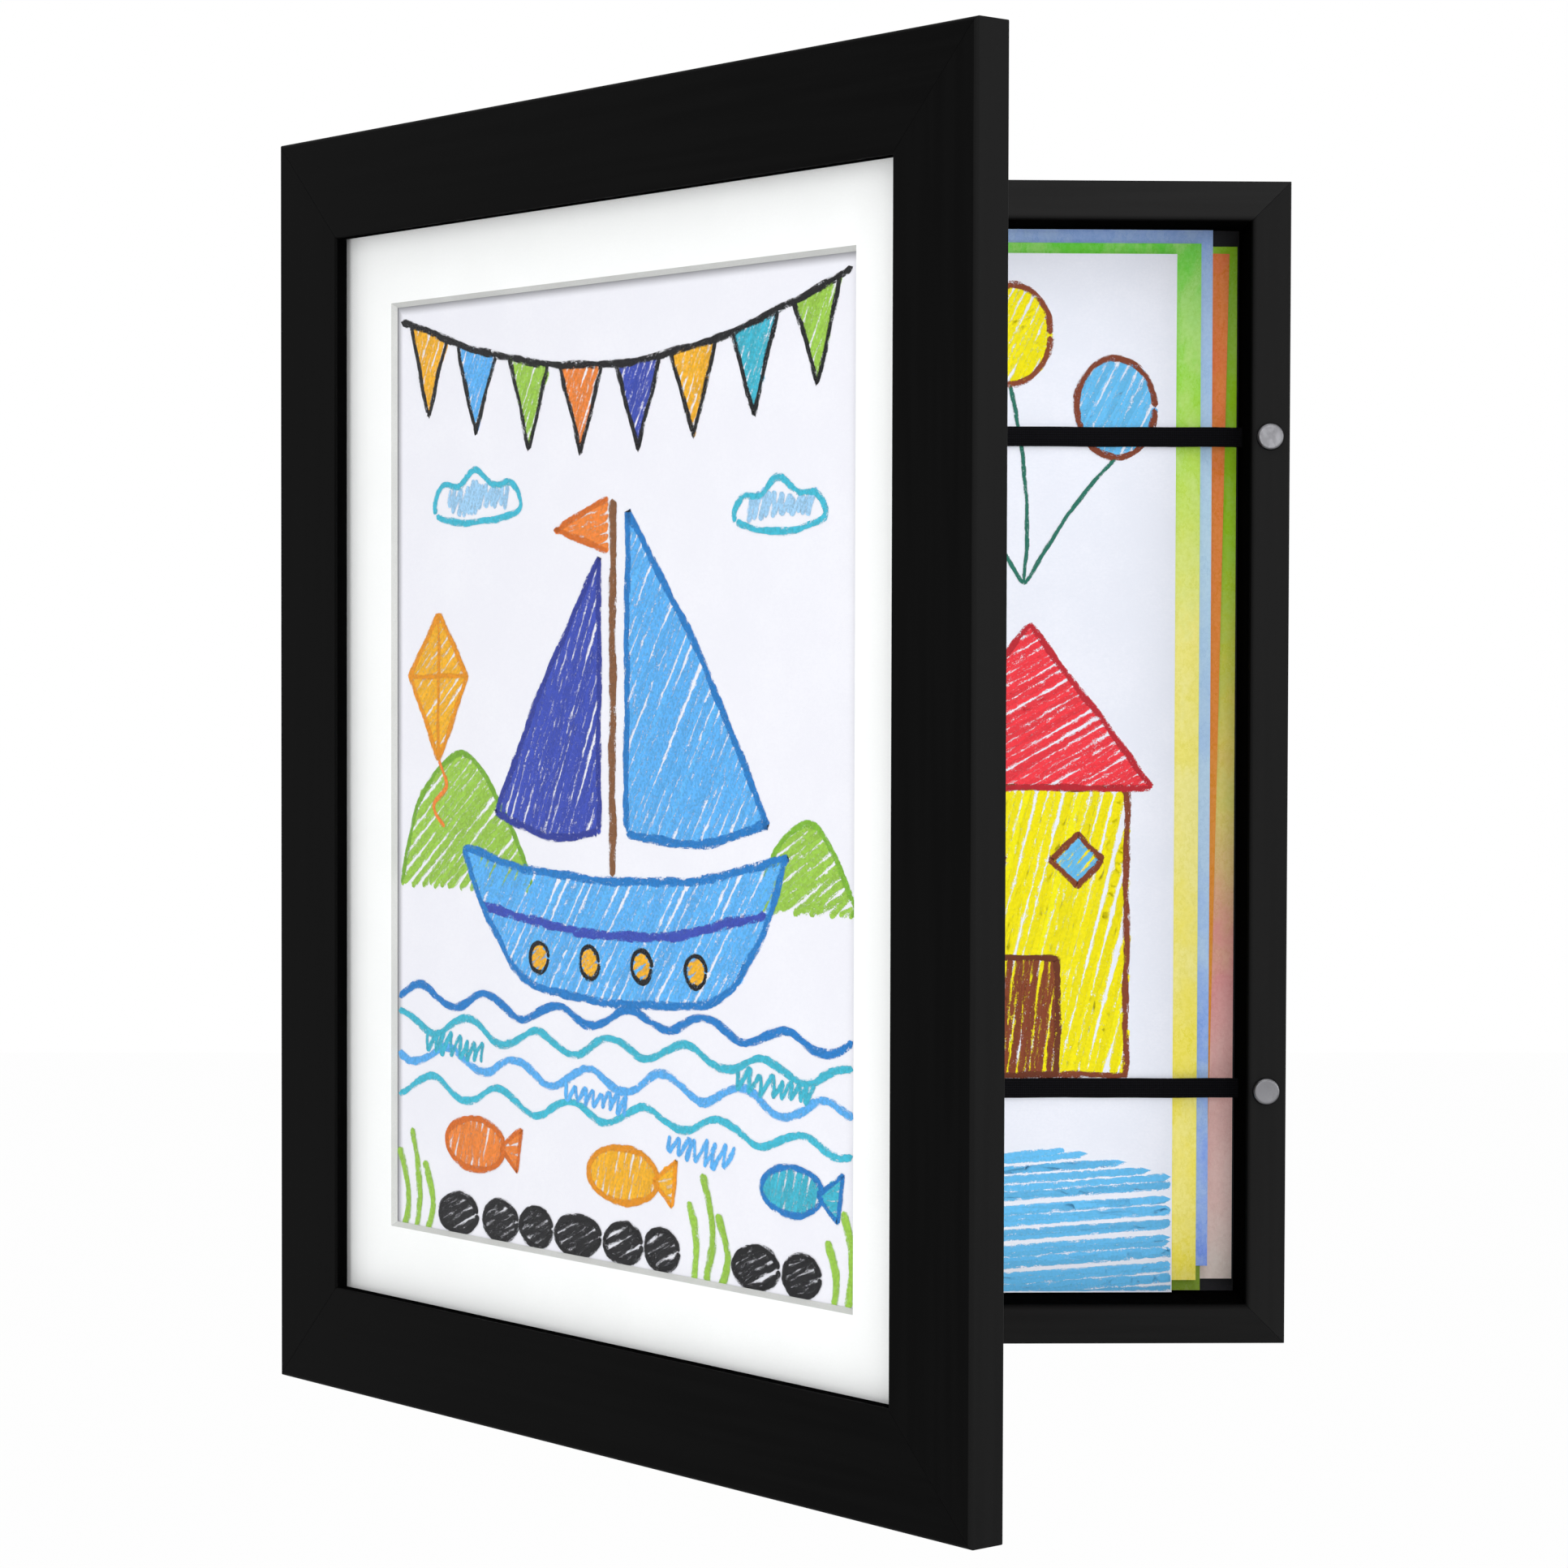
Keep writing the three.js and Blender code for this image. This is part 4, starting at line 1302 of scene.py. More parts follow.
def harbour_drawing() -> Crayons:
    """A sailing boat on waves under pennants and clouds, with hills, a kite, fish, weed and pebbles.

    Returns:
        The strokes, about the middle of the sheet.
    """
    wax = Crayons(11, 106.0, 138.0)
    sky, deep, indigo, gold, lime, teal, coral, ink = (
        "#5fb9ff", "#1f7fcd", "#3c50bb", "#ffba20", "#a0d04a", "#3fbcd6", "#f98b36", "#0e0e12")
    cord = smooth_path([(-99, 128), (-50, 115), (0, 110), (50, 115), (99, 128)])
    starts = np.linspace(3, 105, 8).astype(int)
    for number, code in enumerate((gold, sky, lime, coral, indigo, gold, teal, lime)):
        first, last = cord[starts[number]], cord[min(starts[number] + 11, 119)]
        tip = (first + last) / 2 + np.array([0.0, -24.0])
        wax.hatch(np.array([first, last, tip]), 1.35, 62, 1.05, code, 0.2)
        wax.line(straight_path([first, tip, last], 70), 1.0, ink, 0.25)
    wax.line(cord, 1.15, ink)
    for points, degrees in (([(-99, -34), (-88, -8), (-68, 4), (-48, -12), (-34, -34)], 38),
                            ([(60, -34), (72, -16), (86, -12), (99, -30), (99, -34)], 30)):
        hill = smooth_path(points, 60)
        wax.hatch(hill, 1.8, degrees, 1.2, lime)
        wax.line(hill, 1.0, "#7fb832")
    hull = np.concatenate([smooth_path([(-68, -22), (-40, -27), (0, -29), (40, -27), (74, -20)], 50),
                           smooth_path([(74, -20), (60, -46), (38, -60), (-30, -60), (-54, -44),
                                        (-68, -22)], 70)])
    wax.hatch(hull, 1.6, 54, 1.2, sky)
    wax.line(smooth_path([(-60, -38), (-20, -43), (22, -43), (66, -35)], 80), 1.5, indigo)
    wax.line(hull, 1.35, deep)
    for x in (-32, -9, 14, 37):
        wax.hatch(ellipse(x, -51.5, 3.6, 3.6), 1.2, 30, 0.9, gold, 0.2)
        wax.line(ellipse(x, -51.5, 4.2, 4.2), 0.85, ink)
    wax.line(straight_path([(1, -28), (1, 74)]), 1.7, "#8a5a36")
    for tack, peak, leech, clew, foot, pitch, degrees, half, code, rim, edge in (
            ((7, -16), (7.5, 70), (38, 32), (66, -12), (36, -18), 1.6, 58, 1.2, sky, 1.35, deep),
            ((-5, -16), (-5, 58), (-30, 24), (-52, -12), (-28, -18), 1.5, 66, 1.15, indigo, 1.2, "#2c3c9c")):
        sail = np.concatenate([straight_path([tack, peak], 40), smooth_path([peak, leech, clew], 40),
                               smooth_path([clew, foot, tack], 40)])
        wax.hatch(sail, pitch, degrees, half, code)
        wax.line(sail, rim, edge)
    flag = [(-1, 74), (-25, 66), (-1, 60)]
    wax.hatch(np.array(flag), 1.3, 12, 1.0, coral, 0.2)
    wax.line(straight_path(flag), 1.0, "#e0701c")
    for x, z, size in ((-62, 72, 0.95), (70, 66, 0.85)):
        puff = smooth_path([(x - 20 * size, z), (x - 17 * size, z + 8 * size), (x - 8 * size, z + 8 * size),
                            (x, z + 13 * size), (x + 9 * size, z + 8 * size), (x + 18 * size, z + 8 * size),
                            (x + 21 * size, z), (x, z - 3 * size)], 120, closed=True)
        wax.scribble((x - 15 * size, z + 4), (x + 16 * size, z + 4), 5.5 * size, 68, 1.0, "#a6d6fa", 1.1)
        wax.line(puff, 1.05, teal, 0.3)
    kite = [(-80, 44), (-66, 26), (-80, 2), (-94, 26), (-80, 44)]
    wax.hatch(np.array(kite), 1.5, 40, 1.05, gold)
    for points, half in ((kite, 1.1), (kite[0:3:2], 0.8), (kite[3:0:-2], 0.8)):
        wax.line(straight_path(points), half, "#f39a10")
    wax.line(smooth_path([(-80, 2), (-76, -5), (-82, -11), (-77, -17)], 50), 0.8, coral)
    along = np.linspace(-100, 100, 170)
    for row, (z, code, half) in enumerate(((-66, deep, 1.3), (-74, teal, 1.2), (-83, sky, 1.3),
                                           (-92, teal, 1.15))):
        wave = np.stack([along, z + 2.6 * np.sin(along / 5.2 + 1.7 * row) + 0.8 * np.sin(along / 17)], 1)
        wax.line(wave, half, code, 0.3)
    for first, last, code in (((-88, -78), (-58, -80), teal), ((-22, -88), (8, -89), sky),
                              ((52, -78), (84, -80), teal), ((24, -98), (52, -99), sky)):
        wax.scribble(first, last, 4.0, 68, 0.95, code, 1.8)
    for x, z, wide, code, rim in ((-62, -106, 14, coral, "#e0701c"), (6, -108, 15, gold, "#f39a10"),
                                  (76, -105, 12, teal, deep)):
        shape = ellipse(x, z, wide, wide * 0.5)
        tail = np.array([(x + wide - 2, z), (x + wide + 8, z + 6), (x + wide + 6, z - 6)])
        wax.hatch(tail, 1.3, 10, 1.0, code)
        wax.hatch(shape, 1.45, 72, 1.05, code)
        wax.line(straight_path([*tail, tail[0]]), 0.85, rim)
        wax.line(shape, 1.05, rim)
    for x, tall in ((-97, 24), (-91, 30), (-85, 21), (36, 22), (42, 30), (48, 20), (92, 18), (98, 26)):
        blade = smooth_path([(x, -134), (x + 2, -134 + tall * 0.5), (x - 2, -134 + tall)], 40)
        wax.line(blade, 1.5, lime, 0.4)
    for x, wide in ((-70, 9), (-50, 8), (-33, 7), (-14, 10), (6, 8), (23, 7), (62, 9), (80, 7)):
        stone = ellipse(x, -126.5, wide, 5.2, 4)
        wax.hatch(stone, 1.35, 24, 1.0, "#17171b")
        wax.line(stone, 1.1, ink)
    return wax


def village_drawing() -> Crayons:
    """Yellow houses with red roofs beside a blue pond, with round trees and balloons on strings.

    Returns:
        The strokes, about the middle of the sheet.
    """
    wax = Crayons(29, 120.2, 158.4)
    sky, red, leaf, brown, yellow = "#6ac4f8", "#f83c48", "#2a7866", "#8a452c", "#fff200"
    pond = np.array([(-122, -160), (122, -160), (122, -122), (80, -114), (30, -121), (-20, -113),
                     (-70, -120), (-122, -114)])
    wax.hatch(pond, 2.0, 4, 1.25, sky, 1.2, 0.4, 0.06)
    for x, half, eaves, ridge in ((76, 30, -4, 46), (-72, 27, -16, 30)):
        wall = np.array([(x - half, -92), (x + half, -92), (x + half, eaves), (x - half, eaves)])
        roof = np.array([(x - half - 8, eaves), (x + half + 8, eaves), (x, ridge)])
        door = np.array([(x - 9, -92), (x + 9, -92), (x + 9, -56), (x - 9, -56)])
        wax.hatch(wall, 2.0, 76, 1.25, yellow, 0.8, 0.4, 0.08)
        wax.hatch(roof, 1.5, 30, 1.1, red)
        wax.hatch(door, 1.4, 84, 1.0, brown)
        panes = [ellipse(x + side * half * 0.5, eaves - 22, 8, 8, 0, 5) for side in (-1, 1)]
        for pane in panes:
            wax.hatch(pane, 1.4, 50, 1.0, sky, 0.3)
        for shape, code in ((wall, brown), (roof, "#c82c38"), (door, "#6d3724"),
                            (panes[0], brown), (panes[1], brown)):
            wax.line(straight_path([*shape, shape[0]]), 1.1, code)
    for x, top, wide in ((20, -22, 17), (-18, -34, 14), (-110, -30, 12)):
        trunk = [(x - 3, -92), (x + 3, -92), (x + 3, top - wide), (x - 3, top - wide)]
        crown = ellipse(x, top, wide, wide * 1.25)
        wax.hatch(np.array(trunk), 1.4, 86, 1.0, brown)
        wax.hatch(crown, 1.6, 42, 1.1, leaf)
        wax.line(crown, 1.2, "#1f6252")
    for knot, balloons in ((74, ((34, 112, red), (70, 134, yellow), (102, 112, sky))),
                           (-68, ((-102, 108, sky), (-66, 130, red), (-30, 110, yellow)))):
        for x, z, code in balloons:
            wax.line(smooth_path([(x, z - 15), ((x + knot) / 2 + 3, 84), (knot, 58)], 60), 0.7, leaf)
            balloon = ellipse(x, z, 12, 15)
            wax.hatch(balloon, 1.5, 64, 1.1, code)
            wax.line(balloon, 1.1, brown)
    return wax


# ---- Sub-assemblies -------------------------------------------------------------------------


@dataclass(frozen=True)
class FrameSizes:
    """Sizes that several sub-assemblies share, as in the CAD part."""

    door_width: float = 302.8
    door_height: float = 366.3
    door_thickness: float = 11.0
    box_width: float = 286.8
    box_height: float = 350.3
    box_depth: float = 34.0
    wall: float = 12.0
    door_gap: float = 2.6
    hinge_x: float = -146.0
    hinge_spacing: float = 230.3
    magnet_spacing: float = 197.4
    strap_spacing: float = 199.0
    strap_back: float = 18.2
    middle: float = 171.65
    open_degrees: float = 51.5

    def box_place(self) -> Placement:
        """Returns where the box's own frame lies: the middle of its front face."""
        return Placement((0.0, -self.box_depth, self.middle))

    def door_place(self) -> Placement:
        """Where the door's own frame lies, swung open.

        Returns:
            The place of the middle of its front face.
        """
        back = self.box_depth + self.door_gap / 2
        return Placement((self.hinge_x, -back, self.middle), -self.open_degrees,
                         (-self.hinge_x, -self.door_gap / 2 - self.door_thickness, 0.0))

    def hinge_place(self, end: int, swung: bool) -> Placement:
        """Where a hinge lies.

        Args:
            end: -1 for the lower one, 1 for the upper one.
            swung: whether it swings with the door.

        Returns:
            The place of its pin's middle.
        """
        back = self.box_depth + self.door_gap / 2
        up = self.middle + end * self.hinge_spacing / 2
        return Placement((self.hinge_x, -back, up), -self.open_degrees if swung else 0.0)


@dataclass
class Stick:
    """One mitred side of a frame: its node, its side, its cutters and its finish."""

    node: str
    side: Side
    cutters: list[Patch]
    finish: "Finish"


def build_frame(sticks: Sequence[Stick], profile: Array, size: Sequence[float], arris: float,
                placement: Placement, body: str) -> None:
    """Builds and dresses the mitred sides of a frame, with painted shade, a nearly black unglossed
    lacquer, inside the opening and painted light, a lighter black, at the door's free edge.

    Args:
        sticks: the sides.
        profile: their section.
        size: the frame's width, its height and how wide its sides are.
        arris: the radius of the arris at the opening.
        placement: where the frame lies.
        body: the CAD body that it rides on.
    """
    width, height, inner = size
    for stick in sticks:
        upright = stick.side in (Side.LEFT, Side.RIGHT)
        patch = mitred_side(profile, height if upright else width)
        if stick.cutters:
            patch = carve(patch, stick.cutters)
        x, y, _ = np.array([patch.points[face].mean(0) for face in patch.faces]).T
        # Faces inside the opening take the nearly black inside lacquer: painted shade
        patch.finish = ((x > inner - 0.2) & (y > arris * 0.7)).astype(int)
        # The free stile's outer edge and its arris take a lighter black: painted light
        if stick.node == "stile_free":
            patch.finish[x < 0.9] = 2
        patch = patch.moved(partial(stick.side.place, width=width, height=height))
        make_piece("lacquered_" + stick.node, [patch], placement, [stick.finish, SHADED_INSIDE, LIT_DOOR_EDGE], body,
                   stick.node)


@dataclass
class DoorMoulding:
    """The four mitred sides of the door, with an eased outer arris and lip."""

    sizes: FrameSizes
    width: float = 30.0
    lip_width: float = 6.0
    lip: float = 4.0
    arris: float = 1.1
    lip_arris: float = 0.8
    groove_x: float = 5.4
    groove_half: float = 2.2
    groove_reach: float = 20.2
    barrel_back: float = 1.3
    disc_x: float = 14.0
    socket_radius: float = 4.15
    socket: float = 1.25

    def profile(self) -> Array:
        """The moulding's section: x inward from the outer edge, y back from the front face.

        Returns:
            The closed outline with its corners rounded.
        """
        rabbet, back = self.width - self.lip_width, self.sizes.door_thickness
        return rounded_loop([
            (0, 0, self.arris), (self.width, 0, self.lip_arris), (self.width, self.lip, 0.35),
            (rabbet, self.lip, 0.0), (rabbet, back, 0.3), (0, back, 0.6)], 10)

    def build(self) -> None:
        """Builds and dresses the two stiles and the two rails."""
        s = self.sizes
        back = s.door_thickness
        half, floor = self.groove_half, back + self.barrel_back - self.groove_half
        grooves = [block([self.groove_x - half, floor, end * s.hinge_spacing / 2 - self.groove_reach],
                         [self.groove_x + half, back + 1, end * s.hinge_spacing / 2 + self.groove_reach])
                   for end in (-1, 1)]
        sockets = [rod(self.socket_radius, back - self.socket, back + 1, self.disc_x,
                       end * s.magnet_spacing / 2) for end in (-1, 1)]
        build_frame([Stick("stile_hinge", Side.LEFT, grooves, DOOR_STILE),
                     Stick("stile_free", Side.RIGHT, sockets, DOOR_STILE),
                     Stick("rail_top", Side.TOP, [], DOOR_RAIL),
                     Stick("rail_bottom", Side.BOTTOM, [], DOOR_RAIL)],
                    self.profile(), (s.door_width, s.door_height, self.width), self.lip_arris,
                    s.door_place(), "door")


@dataclass
class Glazing:
    """What the door holds: the glass, the mat, the displayed sheet and the backing board."""

    sizes: FrameSizes
    width: float = 254.0
    height: float = 317.5
    glass_front: float = 4.2
    glass: float = 2.0
    mat_front: float = 6.4
    mat: float = 1.4
    border: float = 25.4
    sheet_front: float = 8.0
    sheet: float = 0.3
    cover: float = 6.2
    backing_front: float = 8.5
    backing: float = 2.3

    def mat_patch(self) -> Patch:
        """The mat: a board with a bevelled window, whose cut shows the board's core.

        Returns:
            The closed ring, with the second finish on its cut.
        """
        front, back = self.mat_front, self.mat_front + self.mat
        profile = rounded_loop([(0, front, 0.1), (self.border, front, 0.08),
                                (self.border + self.mat, back, 0.04), (0, back, 0.1)], 3)
        inward = profile[:, 0] + np.roll(profile[:, 0], -1)
        core = np.tile(inward > 2 * self.border + 0.06, 4).astype(int)
        return replace(picture_frame(profile, self.width, self.height), finish=core)

    def build(self) -> None:
        """Builds and dresses the pane, the mat, the sheet with its drawing, and the backing board."""
        less = 2 * (self.border - self.cover)
        pane = slab(self.width, self.height, self.glass_front, self.glass_front + self.glass, 0.4, 0.2)
        paper = slab(self.width - less, self.height - less, self.sheet_front,
                     self.sheet_front + self.sheet, 0.3, 0.05)
        drawing = harbour_drawing().laid(lambda flat: np.full(len(flat), self.sheet_front), 1)
        board = slab(self.width, self.height, self.backing_front,
                     self.backing_front + self.backing, 1.2, 0.25)
        for name, patches, finishes, node in (
                ("glass_sheet", [pane], [GLASS], "glass_pane"),
                ("bevelled_mat", [self.mat_patch()], [MAT_FACE, MAT_CORE], "mat_board"),
                ("crayon_picture", [paper, *drawing], [PICTURE_PAPER, WAX], "displayed_sheet"),
                ("pressed_backing", [board], [BACKING], "backing_board")):
            make_piece(name, patches, self.sizes.door_place(), finishes, "door", node)


@dataclass
class StorageBox:
    """The four mitred walls of the box and the panel let into their back."""

    sizes: FrameSizes
    arris: float = 0.6
    cavity: float = 26.0
    rabbet: float = 5.0
    panel: float = 2.5
    slot_x: float = 5.8
    slot_half: float = 3.2

    def profile(self) -> Array:
        """The wall's section: x inward from the outer face, y back from the front edge.

        Returns:
            The closed outline with its corners rounded.
        """
        wall, depth, back = self.sizes.wall, self.sizes.box_depth, self.sizes.wall - self.rabbet
        return rounded_loop([
            (0, 0, self.arris), (wall, 0, self.arris), (wall, self.cavity, 0.2),
            (back, self.cavity, 0.0), (back, depth, 0.25), (0, depth, 0.3)], 8)

    def build(self) -> None:
        """Builds and dresses the walls and the back panel."""
        s = self.sizes
        sockets = [rod(4.15, -1.0, 4.05, 6.0, end * s.magnet_spacing / 2) for end in (-1, 1)]
        slots = [block([self.slot_x, s.strap_back - 1.2, end * s.strap_spacing / 2 - self.slot_half],
                       [s.wall + 1, s.strap_back + 0.2, end * s.strap_spacing / 2 + self.slot_half])
                 for end in (-1, 1)]
        pocket = [block([2.1, 32.0, -22.3], [8.0, s.box_depth + 1, 22.3])]
        build_frame([Stick("wall_left", Side.LEFT, slots + pocket, WALL_UPRIGHT),
                     Stick("wall_right", Side.RIGHT, slots + sockets, WALL_UPRIGHT),
                     Stick("wall_top", Side.TOP, pocket, LIT_WALL_TOP),
                     Stick("wall_bottom", Side.BOTTOM, [], SHADED_WALL_BOTTOM)],
                    self.profile(), (s.box_width, s.box_height, s.wall), self.arris, s.box_place(), "box")
        edge = 2 * (s.wall - self.rabbet + 0.3)
        front = self.cavity + 0.1
        panel = slab(s.box_width - edge, s.box_height - edge, front, front + self.panel, 1.0, 0.2)
        make_piece("hardboard_back", [panel], s.box_place(), [PANEL_BLACK], "box", "back_panel")


@dataclass(frozen=True)
class StoredSheet:
    """One bundle of stored sheets: its shares of the full size and of the room it has, its lean as a
    share of a turn, and the paint on its front leaf."""

    width: float
    height: float
    right: float
    top: float
    lean: float
    paint: Finish


def stored_bundles() -> list[StoredSheet]:
    """The six bundles, each with its own paint.

    Returns:
        The bundles, front first.
    """
    yellow = WashedPaper("yellow_green_wash", "paper_yellow",
                         "0 #fff060 60 #fff890 80 #b4ec60 100 #60e050", "#fffcc0", 0.35)
    blue = WashedPaper("blue_wash", "paper_blue",
                       "0 #80a0ff 30 #b0d0ff 70 #c8e8ff 100 #a0c0ff", "#d8f0ff", 0.4)
    olive = WashedPaper("olive_wash", "paper_olive", "0 #90b040 100 #80a040", "#c0d080", 0.4)
    orange = WashedPaper("orange_wash", "paper_orange", "0 #ffb040 50 #ffa050 100 #ff8860", "#ffc060", 0.3)
    mixed = WashedPaper("mixed_wash", "paper_brown",
                        "0 #fff0e8 30 #ffb0b0 50 #fff080 70 #b0e830 100 #a0e020", "#fffaf0", 0.1)
    return [StoredSheet(1, 1, 0.92, 0.91, 0, STORED_PAPER), StoredSheet(1, 1, 0.57, 0.52, 0, yellow),
            StoredSheet(1, 1, 0.4, 0.04, 0, blue), StoredSheet(0.9, 0.88, 0.235, 0.985, 0, olive),
            StoredSheet(0.95, 0.96, 0.115, 0.17, 0.003, orange), StoredSheet(1, 1, 0.03, 0.56, 0, mixed)]


@dataclass
class StoredSheets:
    """The stored sheets, fanned against the back panel, each a bundle of a few leaves."""

    sizes: FrameSizes
    side_room: float = 21.8
    end_room: float = 8.8
    bundle: float = 1.2
    gap: float = 0.1
    leaves: int = 4
    leaf: float = 0.22
    bow: float = 0.7
    curl: float = 1.5

    def front_leaf(self, flat: Array, front: float) -> Array:
        """The front surface of the front sheet. Between the straps it lies bow cos^2(pi z / spacing)
        in front of its bundle, and beyond them curl ((|z| - spacing/2) / (spacing/3))^2.

        Args:
            flat: points of x and z about the sheet's middle.
            front: the flat front face's place.

        Returns:
            The surface's y at the points.
        """
        half = self.sizes.strap_spacing / 2
        z = np.abs(flat[:, 1])
        inner = self.bow * np.cos(math.pi * flat[:, 1] / self.sizes.strap_spacing) ** 2
        outer = self.curl * np.clip((z - half) / (half * 2 / 3), 0, None) ** 2
        side = 0.75 + 0.25 * np.cos(flat[:, 0] / 38.0)
        return front - np.where(z < half, inner, outer) * side

    def flat_leaf(self, flat: Array, front: float) -> Array:
        """Returns the front surface's y of a flat sheet at points of x and z."""
        return np.full(len(flat), front)

    def leaf_patch(self, width: float, height: float, surface: Callable[[Array], Array],
                   finish: int, columns: int, rows: int) -> Patch:
        """A leaf of paper as a thin closed sheet: a front grid, a back grid and their rim.

        Args:
            width: the leaf's width.
            height: its height.
            surface: gives the front surface's y at points of x and z.
            finish: its finish number.
            columns: its points across.
            rows: its points up.

        Returns:
            The closed surface.
        """
        z, x = np.meshgrid(np.linspace(-height / 2, height / 2, rows),
                           np.linspace(-width / 2, width / 2, columns), indexing="ij")
        flat = np.stack([x.ravel(), z.ravel()], 1)
        y = surface(flat)
        count = len(flat)
        points = np.concatenate([np.stack([flat[:, 0], y, flat[:, 1]], 1),
                                 np.stack([flat[:, 0], y + self.leaf, flat[:, 1]], 1)])
        front = grid_faces(rows, columns)
        number = np.arange(count).reshape(rows, columns)
        rim = np.concatenate([number[0], number[1:, -1], number[-1, -2::-1], number[-2:0:-1, 0]])
        after = np.roll(rim, -1)
        sides = np.stack([rim, rim + count, after + count, after], 1)
        faces = np.concatenate([front, front[:, ::-1] + count, sides])
        return plain_patch(points, faces.tolist(), finish)

    def build(self) -> None:
        """Builds and dresses the six bundles, with the drawing on the front one."""
        s = self.sizes
        cavity_width, cavity_height = s.box_width - 2 * s.wall, s.box_height - 2 * s.wall
        full = cavity_width - self.side_room, cavity_height - self.end_room
        hand = np.random.default_rng(5)
        for index, sheet in enumerate(stored_bundles()):
            width, height = sheet.width * full[0], sheet.height * full[1]
            lean = sheet.lean * 2 * math.pi
            span_x = width * math.cos(lean) + height * math.sin(lean)
            span_z = height * math.cos(lean) + width * math.sin(lean)
            centre = (cavity_width / 2 - span_x / 2 - sheet.right * (cavity_width - span_x),
                      cavity_height / 2 - span_z / 2 - sheet.top * (cavity_height - span_z))
            front = s.strap_back + 0.1 + index * (self.bundle + self.gap)
            patches = []
            for number in range(self.leaves):
                level = front + number * (self.leaf + 0.1)
                less = hand.uniform(0.3, 0.9, 2) * (number > 0)
                bowed = index == 0 and number == 0
                surface = partial(self.front_leaf if bowed else self.flat_leaf, front=level)
                patches.append(self.leaf_patch(width - less[0], height - less[1], surface,
                                               int(number > 0), *((40, 90) if bowed else (3, 3))))
            finishes = [sheet.paint, PLAIN_LEAF]
            if index == 0:
                patches += village_drawing().laid(partial(self.front_leaf, front=front), 2)
                finishes.append(SOFT_WAX)
            turned = Placement((centre[0], -s.box_depth, s.middle + centre[1]))
            c, sn = math.cos(lean), math.sin(lean)
            rotation = np.array([[c, 0, sn], [0, 1, 0], [-sn, 0, c]])
            patches = [patch.moved(lambda points: points @ rotation.T) for patch in patches]
            make_piece(f"paper_bundle_{index + 1}", patches, turned, finishes, "box",
                       f"stored_sheet_{index + 1}")


@dataclass
class Straps:
    """Two tapes of flat elastic across the stored sheets, glued into slots in the walls."""

    sizes: FrameSizes
    width: float = 6.0
    thickness: float = 1.0
    tail: float = 6.0
    ribs: int = 8
    relief: float = 0.05

    def section(self) -> Array:
        """The tape's section: a flat band with rounded edges and shallow ribs on both faces.

        At z across the band its half thickness is t/2 - relief (1 - |sin(pi ribs z / width)|),
        times the root of 1 - (2z/width)^12, which rounds the edges.

        Returns:
            The closed outline in y and z.
        """
        z = self.width / 2 * np.sin(np.linspace(-math.pi / 2, math.pi / 2, 97))
        ridge = self.relief * (1 - np.abs(np.sin(math.pi * self.ribs * z / self.width)))
        edge = np.sqrt(np.clip(1 - (2 * z / self.width) ** 12, 0, None))
        half = (self.thickness / 2 - ridge) * edge
        front = np.stack([-half, z], 1)
        return np.concatenate([front, np.stack([half, z], 1)[-2:0:-1]])

    def build(self) -> None:
        """Builds and dresses both straps."""
        s = self.sizes
        half = (s.box_width - 2 * s.wall) / 2 + self.tail
        section = self.section()
        x = np.linspace(-half, half, 61)
        for node, end in (("strap_upper", 1), ("strap_lower", -1)):
            wave = 0.05 * np.sin(x / 9.0 + end) + 0.04 * np.sin(x / 3.7)
            rings = np.stack([
                np.broadcast_to(x[:, None], (len(x), len(section))),
                np.broadcast_to(section[None, :, 0] + s.strap_back - self.thickness / 2,
                                (len(x), len(section))),
                section[None, :, 1] + wave[:, None] + end * s.strap_spacing / 2], -1)
            make_piece("elastic_tape_" + node.split("_")[1], [loft(rings)], s.box_place(), [ELASTIC],
                       "box", node, 60.0)


@dataclass
class Magnets:
    """The two magnets in the box and the two steel discs that they meet in the door."""

    sizes: FrameSizes
    radius: float = 4.0
    rim: float = 0.7
    proud: float = 1.1
    magnet_depth: float = 5.0
    disc_depth: float = 2.2

    def disc(self, length: float) -> Patch:
        """A disc with its face at y = 0, a rounded rim and a very slight dish.

        Args:
            length: how deep the disc is.

        Returns:
            The closed surface.
        """
        angle = np.linspace(0, math.pi / 2, 11)
        rim = np.stack([self.radius - self.rim + self.rim * np.sin(angle),
                        self.rim * (1 - np.cos(angle))], 1)
        face = np.array([[0, 0.06], [1.2, 0.055], [2.2, 0.035], [2.9, 0.01]])
        back = np.array([[self.radius, length - 0.3], [self.radius - 0.3, length], [0, length]])
        return revolve(np.concatenate([face, rim, back]), 64)

    def build(self) -> None:
        """Builds and dresses the magnets and the discs."""
        s = self.sizes
        for label, end in (("upper", 1), ("lower", -1)):
            up = end * s.magnet_spacing / 2
            x = s.box_width / 2 - s.wall / 2
            magnet = self.disc(self.magnet_depth).put(x, -self.proud, up)
            make_piece("nickel_magnet_" + label, [magnet], s.box_place(), [NICKEL], "box",
                       "magnet_" + label)
            disc = self.disc(self.disc_depth).put(x, s.door_thickness + self.proud, up, (1, -1, 1))
            make_piece("nickel_disc_" + label, [disc], s.door_place(), [NICKEL], "door",
                       "strike_disc_" + label)


def cross_recess(depth: float) -> list[Patch]:
    """Cutters for the cross recess in a screw's head, whose face is at y = 0 and faces -y.

    Args:
        depth: the recess's depth.

    Returns:
        Two crossing wedges that narrow towards their bottom.
    """
    arm, half = 1.0, 0.25
    wedges = []
    for turn in (1, -1):
        rings = []
        for y, share in ((-0.4, 1.15), (depth, 0.55)):
            flat = CORNERS * np.array([arm * share, half * (0.6 + 0.4 * share)])[::turn]
            rings.append(np.insert(flat, 1, y, axis=1))
        wedges.append(loft(np.array(rings)))
    return wedges


